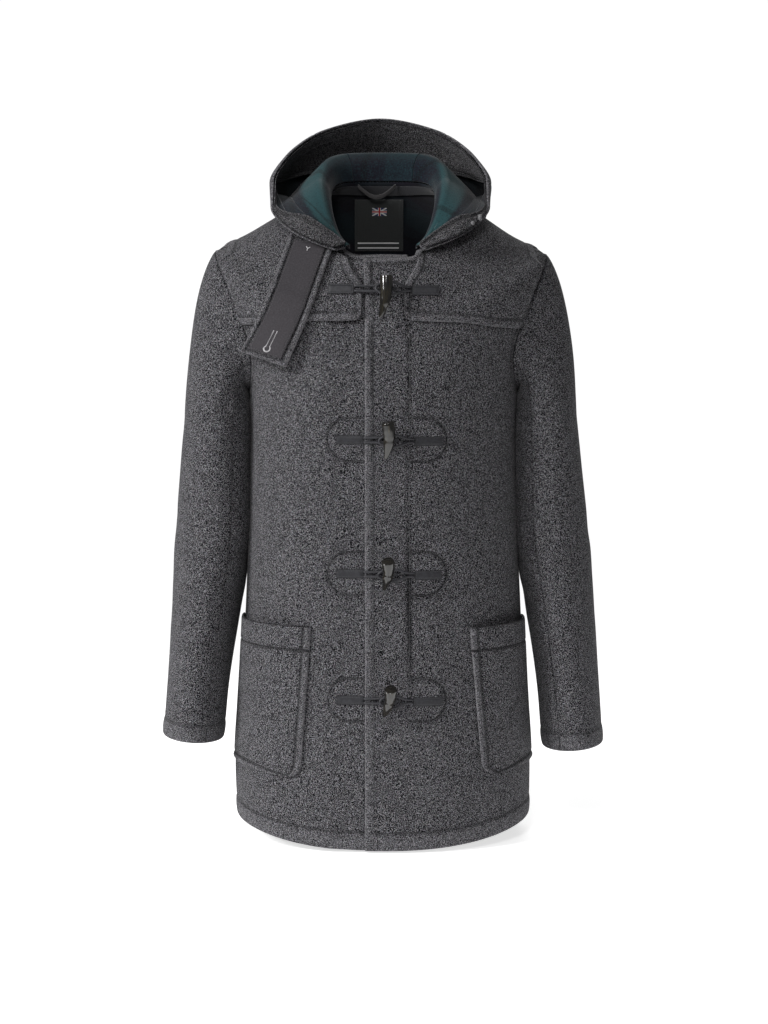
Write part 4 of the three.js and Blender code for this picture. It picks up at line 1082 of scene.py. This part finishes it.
def buttonhole():
    """Close bars of thread round a slit with a round eye at its lower end."""
    length, half, eye = BUTTONHOLE["length"], BUTTONHOLE["half"], BUTTONHOLE["eye"]
    middle = BUTTONHOLE["t"] * TAB_LENGTH
    hidden = TAB_TUCK + TAB["slant"] / 2
    straight = np.linspace(0, length, 15)
    turn = np.linspace(-0.72 * np.pi, 0.72 * np.pi, 15)
    across = np.concatenate([np.full(15, half), eye * np.sin(turn[::-1]), np.full(15, -half)])
    along = np.concatenate([straight, length + eye + eye * np.cos(turn[::-1]), straight[::-1]])
    outward_across = np.concatenate([np.ones(15), np.sin(turn[::-1]), -np.ones(15)])
    outward_along = np.concatenate([np.zeros(15), np.cos(turn[::-1]), np.zeros(15)])
    vertices, faces = [], []
    for a, b, oa, ob in zip(across, along, outward_across, outward_along):
        ends = []
        for far in (-0.3, 0.5, 1.3):
            place, normal = tab_place(
                np.array([(a + oa * far) / (TAB["width"] / 2)]),
                np.array([(middle + b - length / 2 + ob * far + hidden) / (TAB_LENGTH + hidden)]),
                0.0, np.array([TAB_FACE + (0.5 if far == 0.5 else 0.15)]),
            )
            ends.append(place[0])
        got, made = tube(np.array(ends), 0.55, 6, normal[0])
        faces += [tuple(len(vertices) + i for i in f) for f in made]
        vertices += got.tolist()
    piece = mesh_object("buttonhole", vertices, faces, [SILK_MATERIAL])


buttonhole()


def bar_tack():
    """A few bars of pale thread that hold the tab's upper end to the lining."""
    vertices, faces = [], []
    for across, along, slant in ((-0.04, 0.115, 0.04), (0.04, 0.115, -0.04), (0.0, 0.13, 0.0)):
        place, normal = tab_place(
            across + np.linspace(-1, 1, 4) * slant, along + np.linspace(-0.5, 0.5, 4) * 0.016, 0.0,
            np.full(4, TAB_FACE + 0.2),
        )
        got, made = tube(place, 0.5, 6, normal[0])
        faces += [tuple(len(vertices) + i for i in f) for f in made]
        vertices += got.tolist()
    mesh_object("bar_tack", vertices, faces, [SILK_MATERIAL])


bar_tack()

# The patch pockets
# A square of the coating with one rounded lower corner, sewn on at its sides and bottom. The mouth
# is hemmed deep and stands open a little where the cloth has stretched.

POCKET = {"mouth": 11.0, "corner": 20.0, "rest": 0.4, "hem": 33.0, "turn": 10.0}
POCKETS = {
    "right": {"sign": -1, "top_in": 95.0, "bottom_in": 110.0, "top_z": -570.0},
    "left": {"sign": 1, "top_in": 115.0, "bottom_in": 133.0, "top_z": -572.0},
}
POCKET_BOTTOM_Z = -778.0
POCKET_REACH = math.radians(86)


def pocket(name, sign, top_in, bottom_in, top_z):
    length = top_z - POCKET_BOTTOM_Z
    ts = stations(length, 4.0, (POCKET["turn"], length - POCKET["hem"]), [(0, 22, 1.6)])
    us = stations(125, 3.4, (POCKET["turn"],), [(0, 16, 1.8)])
    u, t = np.meshgrid(us, ts)
    height = length * t
    near = np.clip(1 - height / POCKET["corner"], 0, 1)
    start = lerp(bottom_in, top_in, t) + POCKET["corner"] * (1 - np.sqrt(1 - near**2))
    _, v = locate(0 * height, POCKET_BOTTOM_Z + height)
    theta = sign * lerp(angle_at(start, v), POCKET_REACH - 0.06 * near**2, u)
    out = POCKET["rest"] + CLOTH + POCKET["mouth"] * np.sin(np.pi * u) * t**1.5
    normals = torso_normal(theta, v)
    points = torso_point(theta, v) + normals * out[..., None]
    relief = 0.7 * np.sin(u * 9 + 1) * np.sin(t * 7 + u * 3) * smooth(u / 0.1) * smooth((1 - u) / 0.1)
    # The stitch line under the hemmed mouth sinks a groove that is also darkened in colour: painted shade.
    panel = Panel(
        f"pocket_{name}", points, normals, CLOTH, [WOOL, BODY_CHECK_SHADED],
        turned={"left": POCKET["turn"], "low": POCKET["turn"]}, relief=relief,
        sewn=bell((length - height - POCKET["hem"]) / 1.8),
    )
    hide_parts(f"pocket_{name}")
    stitches(f"stitches_pocket_{name}", [
        panel.line("left", POCKET["turn"], POCKET["turn"], 2),
        panel.line("low", POCKET["turn"], POCKET["turn"], 2),
        panel.line("high", POCKET["hem"], POCKET["turn"], 2),
    ])
    return panel


for name, sizes in POCKETS.items():
    pocket(name, **sizes)

# The back neck
# Inside the neck a dark strip covers the seam, a tape loop hangs the coat up, and a woven label is
# sewn to the back. The label is plain, with a small flag near its top and two thin lines low down.


def on_back(x, z, out):
    theta, v = locate(x, z, True)
    normal = torso_normal(theta, v)
    return torso_point(theta, v) + normal * (np.asarray(out) - CLOTH)[..., None], normal


TAPE = Finish("neck_tape_cloth", Roughness=0.8, Sheen_Weight=0.2)
tape_place = TAPE.attribute("cut").parts()
herringbone = ((tape_place[0] * 2.4 + tape_place[1] * 3.0).math("SINE") * 0.5 + 0.5) * 0.6 + TAPE.noise(800) * 0.4
TAPE_MATERIAL = TAPE.feed(
    Base_Color=herringbone.mix((0.007, 0.007, 0.009), (0.022, 0.022, 0.028)),
    Roughness=0.7 + 0.2 * herringbone,
    Normal=TAPE.bump(herringbone, 0.4, 0.0005),
)
u, t = np.meshgrid(stations(150, 3.0), stations(13, 1.8))
theta = np.pi - lerp(-1, 1, u) * math.radians(58)
v = lerp(0.983, 0.996, t)
normals = torso_normal(theta, v)
strip_points = torso_point(theta, v) - normals * (CLOTH + LAID + 1.2)
strip = Panel("neck_tape", strip_points, -normals, 1.2, [TAPE_MATERIAL])
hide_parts("neck_tape")

LABEL = {"left": -40.0, "right": 29.0, "low": -70.0, "high": 2.0}
LABEL_FLAG = {"x": 34.5, "z": 62.0, "half_width": 10.2, "half_height": 6.3}
LABEL_LINES = {"from": 4.0, "to": 62.0, "levels": (5.2, 12.6), "half": 0.95}
CARD = Finish("woven_label", Roughness=0.6, Sheen_Weight=0.15)
label_x, label_z, _ = CARD.attribute("cut").parts()
weave = ((label_x * 9.0).math("SINE") * (label_z * 9.0).math("SINE")) * 0.5 + 0.5


def band(value, low, high, soft=0.12):
    return value.ramp(low - soft, low + soft) * (1 - value.ramp(high - soft, high + soft))


def label_colour():
    colour = weave.mix((0.022, 0.024, 0.024), (0.046, 0.049, 0.049))
    flag = LABEL_FLAG
    from_x, from_z = (label_x - flag["x"]).math("ABSOLUTE"), (label_z - flag["z"]).math("ABSOLUTE")
    field = (1 - from_x.ramp(flag["half_width"] - 0.1, flag["half_width"] + 0.1)) * (
        1 - from_z.ramp(flag["half_height"] - 0.1, flag["half_height"] + 0.1)
    )
    slope = flag["half_height"] / flag["half_width"]
    diagonal = (from_z - from_x * slope).math("ABSOLUTE")
    navy, white, red = (0.02, 0.03, 0.12), (0.72, 0.72, 0.70), (0.5, 0.03, 0.04)
    inside = (1 - diagonal.ramp(1.1, 1.3)).mix(navy, white)
    cross = from_x.math("MINIMUM", from_z)
    inside = (1 - cross.ramp(1.9, 2.1)).mix(inside, white)
    inside = (1 - cross.ramp(0.9, 1.1)).mix(inside, red)
    colour = field.mix(colour, inside)
    lines = 0.0
    for level in LABEL_LINES["levels"]:
        lines = band(label_z, level - LABEL_LINES["half"], level + LABEL_LINES["half"]) + lines
    within = band(label_x, LABEL_LINES["from"], LABEL_LINES["to"])
    return (lines * within).mix(colour, (0.85, 0.85, 0.85))


LABEL_MATERIAL = CARD.feed(
    Base_Color=label_colour(), Roughness=0.5 + 0.2 * weave, Normal=CARD.bump(weave, 0.3, 0.0004)
)
u, t = np.meshgrid(stations(69, 2.6), stations(74, 2.6))
x, z = lerp(LABEL["left"], LABEL["right"], u), lerp(LABEL["low"], LABEL["high"], t)
points, normals = on_back(x, z, np.full(x.shape, -2.0))
label = Panel("label", points, -normals, 1.2, [LABEL_MATERIAL])
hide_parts("label")
label_thread = [label.line(edge, 1.6, 1.6, 1.6) for edge in ("left", "right", "low", "high")]
stitches("stitches_label", label_thread, pitch=2.6, radius=0.22)

u, t = np.meshgrid(stations(62, 2.0), stations(6, 0.9))
sag = np.sin(np.pi * u)
x = lerp(-36, 18, u)
z = 22 - 12 * sag + lerp(-3, 3, t)
points, normals = on_back(x, z, -2.8 - 7 * sag - 1.5)
LOOP_TAPE = Finish("hanging_tape", Roughness=0.75, Sheen_Weight=0.3)
loop_weave = LOOP_TAPE.noise(900, 2)
LOOP_TAPE_MATERIAL = LOOP_TAPE.feed(Base_Color=loop_weave.mix((0.035, 0.033, 0.036), (0.085, 0.080, 0.082)))
hanger = Panel("hanging_loop", points, -normals, 1.5, [LOOP_TAPE_MATERIAL])
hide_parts("hanging_loop")

# The fastenings
# Four horn toggles, each held by a doubled leather cord on the left front and passed through a loop
# of the same cord on the right. Each cord ends under a stitched leather tab. The tips point down.

TOGGLE_NAMES = ("x", "z", "sag", "top", "tip", "lean", "right", "left", "lift")
TOGGLES = [dict(zip(TOGGLE_NAMES, row)) for row in (
    (4, -124, 13.5, 19.6, 10.5, 8, (-72, -38), (38, 75), 5),
    (8, -320, 0, 21.0, 11.0, 3, (-62, -26), (42, 80), 0),
    (7, -498, 0, 35.3, 6.3, 5, (-62, -26), (42, 78), 0),
    (9, -667, 0, 35.3, 6.3, 9, (-62, -26), (40, 80), 0),
)]
HORN_LENGTH = 50.0
STRAP = {"height": 12.5, "thick": 1.6, "rest": {"left": 0.4, "right": 0.8}}
CORD_RADIUS = 1.7
YOKE_TOP = YOKE_LIFT + CLOTH + 0.7

HORN = Finish("polished_horn", Coat_Weight=0.6, Coat_Roughness=0.08, IOR=1.54)
streaks = HORN.place.node(
    "ShaderNodeTexNoise", Vector=HORN.place.node(
        "ShaderNodeVectorMath", {"operation": "MULTIPLY"}, i0=HORN.attribute("grain"), i1=(1.0, 1.0, 0.12)
    ), Scale=0.55, Detail=3.0, Roughness=0.6,
)
pale = streaks.ramp(0.70, 0.76)
brown = streaks.ramp(0.48, 0.62)
horn_colour = brown.mix((0.004, 0.0035, 0.003), (0.022, 0.018, 0.010))
horn_colour = pale.mix(horn_colour, (0.14, 0.12, 0.08))
HORN_MATERIAL = HORN.feed(
    Base_Color=horn_colour,
    Roughness=0.10 + 0.08 * HORN.noise(300, 3),
    Normal=HORN.bump(streaks, 0.12, 0.0005),
)

LEATHER = Finish("tab_leather", IOR=1.5, Specular_IOR_Level=0.4)
pores = LEATHER.place.node("ShaderNodeTexVoronoi", Vector=LEATHER.place, Scale=1500.0)
leather_tone = LEATHER.noise(220, 3, 0.6)
leather_edge = LEATHER.attribute("cut").parts()[2]
LEATHER_MATERIAL = LEATHER.feed(
    Base_Color=((1 - leather_edge.ramp(0.2, 1.6)) * 0.5).mix(
        leather_tone.ramp(0.3, 0.7).mix((0.012, 0.012, 0.015), (0.025, 0.025, 0.030)), (0.007, 0.007, 0.009)
    ),
    Roughness=0.42 + 0.2 * leather_tone,
    Normal=LEATHER.bump(pores * 0.7 + leather_tone, 0.35, 0.0005),
)
LACE = Finish("leather_cord", IOR=1.5, Specular_IOR_Level=0.45)
lace_tone = LACE.noise(500, 3, 0.6)
LACE_MATERIAL = LACE.feed(
    Base_Color=lace_tone.ramp(0.3, 0.7).mix((0.012, 0.012, 0.015), (0.035, 0.035, 0.041)),
    Roughness=0.36 + 0.25 * lace_tone,
    Normal=LACE.bump(lace_tone, 0.3, 0.0004),
)


def cloth_under(x, z):
    if abs(x) > 30 and z > YOKE_LOW_Z:
        return YOKE_TOP
    return float(-underlap_inset(np.array(x))) if x < PLACKET_EDGE else 0.0


def strap(side, number, ends, z):
    u, t = np.meshgrid(stations(abs(ends[1] - ends[0]), 1.4), stations(STRAP["height"], 1.1))
    x, level = lerp(ends[0], ends[1], u), z + lerp(-STRAP["height"] / 2, STRAP["height"] / 2, t)
    out = np.array([[cloth_under(a, z) for a in x[0]]] * len(x)) + STRAP["rest"][side] + STRAP["thick"]
    theta, v = locate(x, level)
    normals = torso_normal(theta, v)
    points = torso_point(theta, v) + normals * out[..., None]
    inner = np.minimum(np.minimum(u, 1 - u) * abs(ends[1] - ends[0]), np.minimum(t, 1 - t) * STRAP["height"])
    relief = 0.35 * smooth(inner / 4) - 0.25 * bell((inner - 1.9) / 0.6)
    panel = Panel(f"strap_{side}_{number}", points, normals, STRAP["thick"], [LEATHER_MATERIAL], relief=relief)
    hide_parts(f"strap_{side}_{number}")
    return [panel.line(edge, 1.9, 1.9, 1.9) for edge in ("left", "right", "low", "high")]


def toggle(number, x, z, top, tip, lean, lift):
    drop = math.sqrt(HORN_LENGTH**2 - (top - tip) ** 2) / 2
    t = np.concatenate([[0, 0.004, 0.012], np.linspace(0.03, 0.97, 26), [0.985, 0.995, 1.0]])
    path = on_front(x - lean * (t - 0.4) - 3 * (2 * t - 1) ** 2, z + lerp(drop, -drop, t), lerp(top, tip, t) + lift)
    radii = through(np.linspace(0, 1, 7), np.array([8.5, 8.5, 8.5 * 0.93, 8.5 * 0.86, 8.5 * 0.72, 8.5 * 0.5, 2.2]))(t)
    tip_round = np.sqrt(np.clip(1 - ((t - 0.97) / 0.034) ** 2, 0, 1))
    radii = radii * np.where(t < 0.02, 0.93 + 3.5 * t, 1) * np.where(t > 0.97, tip_round, 1)
    radii = radii - 0.5 * bell((t - 0.47) / 0.05)
    around = 28
    vertices, faces = tube(path, radii, around, (1, 0, 0))
    turn = np.tile(np.linspace(0, 2 * np.pi, around, endpoint=False), len(t))
    far = np.repeat(t, around)
    grain = np.stack([8 * np.cos(turn) + 37 * number, 8 * np.sin(turn), far * 50], 1)
    piece = mesh_object(f"toggle_{number}", vertices, faces, [HORN_MATERIAL], None, {"grain": grain})
    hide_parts(f"toggle_{number}")


def loop(name, strap_x, strap_out, bend_x, bend_out, spread, z, gape):
    away = math.copysign(1, bend_x - strap_x)
    turn = np.linspace(-1, 1, 57)
    reach = 1 - np.abs(turn) ** 1.8
    x = lerp(strap_x, bend_x, reach)
    bent = np.where(reach > 0.75, np.sqrt(np.clip((1 - reach) / 0.25, 0, 1)), 1)
    wide = lerp(gape, spread, smooth((reach - 0.1) / 0.5)) * bent
    path = on_front(x, z + np.sign(turn) * wide, lerp(strap_out, bend_out, smooth(reach / 0.5)))
    vertices, faces = tube(path, CORD_RADIUS, 12, (0, -away, 0))
    piece = mesh_object(name, vertices, faces, [LACE_MATERIAL])
    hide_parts(name)


strap_thread = []
resting = CORD_RADIUS + 0.7
for number, row in enumerate(TOGGLES, 1):
    x, z, lift = row["x"], row["z"], row["lift"]
    strap_thread += strap("right", number, row["right"], z)
    strap_thread += strap("left", number, row["left"], z - 2)
    toggle(number, x, z - row["sag"], row["top"], row["tip"], row["lean"], lift)
    loop(
        f"cord_right_{number}", row["right"][1] + 2 * SEAM, max(cloth_under(row["right"][1], z), 0) + resting,
        x + 11, lift + resting, 3.4, z, 3,
    )
    loop(
        f"cord_left_{number}", row["left"][0] - 2 * SEAM, cloth_under(row["left"][0], z) + resting,
        x - 13, lift + resting + 2 * CORD_RADIUS + 0.6, 8, z - 1, 2.2,
    )
stitches("stitches_straps", strap_thread, pitch=2.4, radius=0.2)

# The floor, the light and the camera
# A plain pale floor runs into the background, soft light comes mostly from the viewer's left, and
# the camera stands level with the chest, a little over three metres away.

FLOOR_Z = -0.874
bpy.ops.mesh.primitive_circle_add(vertices=96, radius=2, fill_type="NGON", location=(0, 0, FLOOR_Z))
floor = bpy.context.object
floor.name = "floor"
PAPER = Finish("pale_floor", Roughness=0.9, Emission_Color=(1, 1, 1, 1), Emission_Strength=0.68)
far_x, far_y, _ = PAPER.place.parts()
far = (far_x * far_x + far_y * far_y).math("SQRT")
PAPER.feed(Base_Color=PAPER.noise(3).mix((0.86, 0.86, 0.86), (0.9, 0.9, 0.9)))
clear = PAPER.place.node("ShaderNodeBsdfTransparent")
blend = PAPER.tree.nodes.new("ShaderNodeMixShader")
PAPER.tree.links.new(far.ramp(0.7, 1.9).link, blend.inputs[0])
PAPER.tree.links.new(PAPER.shader.outputs[0], blend.inputs[1])
PAPER.tree.links.new(clear.link, blend.inputs[2])
PAPER.tree.links.new(blend.outputs[0], PAPER.tree.nodes["Material Output"].inputs[0])
floor.data.materials.append(PAPER.material)

world = bpy.data.worlds.new("pale_studio")
bpy.context.scene.world = world
world.use_nodes = True
backdrop = world.node_tree.nodes["Background"]
backdrop.inputs["Color"].default_value = (1, 1, 1, 1)
seen = Socket(world.node_tree, world.node_tree.nodes.new("ShaderNodeLightPath").outputs["Is Camera Ray"])
world.node_tree.links.new((seen * 0.85 + 0.17).link, backdrop.inputs["Strength"])

AIM = Vector((0.0, 0.0, -0.42))
for name, place, size, power in (
    ("key_light", (-2.9, -1.6, 1.3), 1.1, 125),
    ("front_light", (-0.4, -3.4, 1.8), 0.8, 45),
    ("rim_light", (0.6, 2.6, 1.8), 1.8, 40),
):
    lamp = bpy.data.lights.new(name, "AREA")
    lamp.size, lamp.energy = size, power
    holder = bpy.data.objects.new(name, lamp)
    bpy.context.scene.collection.objects.link(holder)
    holder.location = place
    holder.rotation_euler = (AIM - Vector(place)).to_track_quat("-Z", "Y").to_euler()

lens = bpy.data.cameras.new("camera")
lens.sensor_width = 36
lens.lens = 36 / (2 * math.tan(math.radians(24.18) / 2))
camera = bpy.data.objects.new("camera", lens)
bpy.context.scene.collection.objects.link(camera)
camera.location = (0.0014, -3.2819, -0.0851)
camera.rotation_euler = (Vector((0.0014, 0, -0.43)) - camera.location).to_track_quat("-Z", "Y").to_euler()
bpy.context.scene.camera = camera
bpy.context.scene.view_settings.view_transform = "Standard"
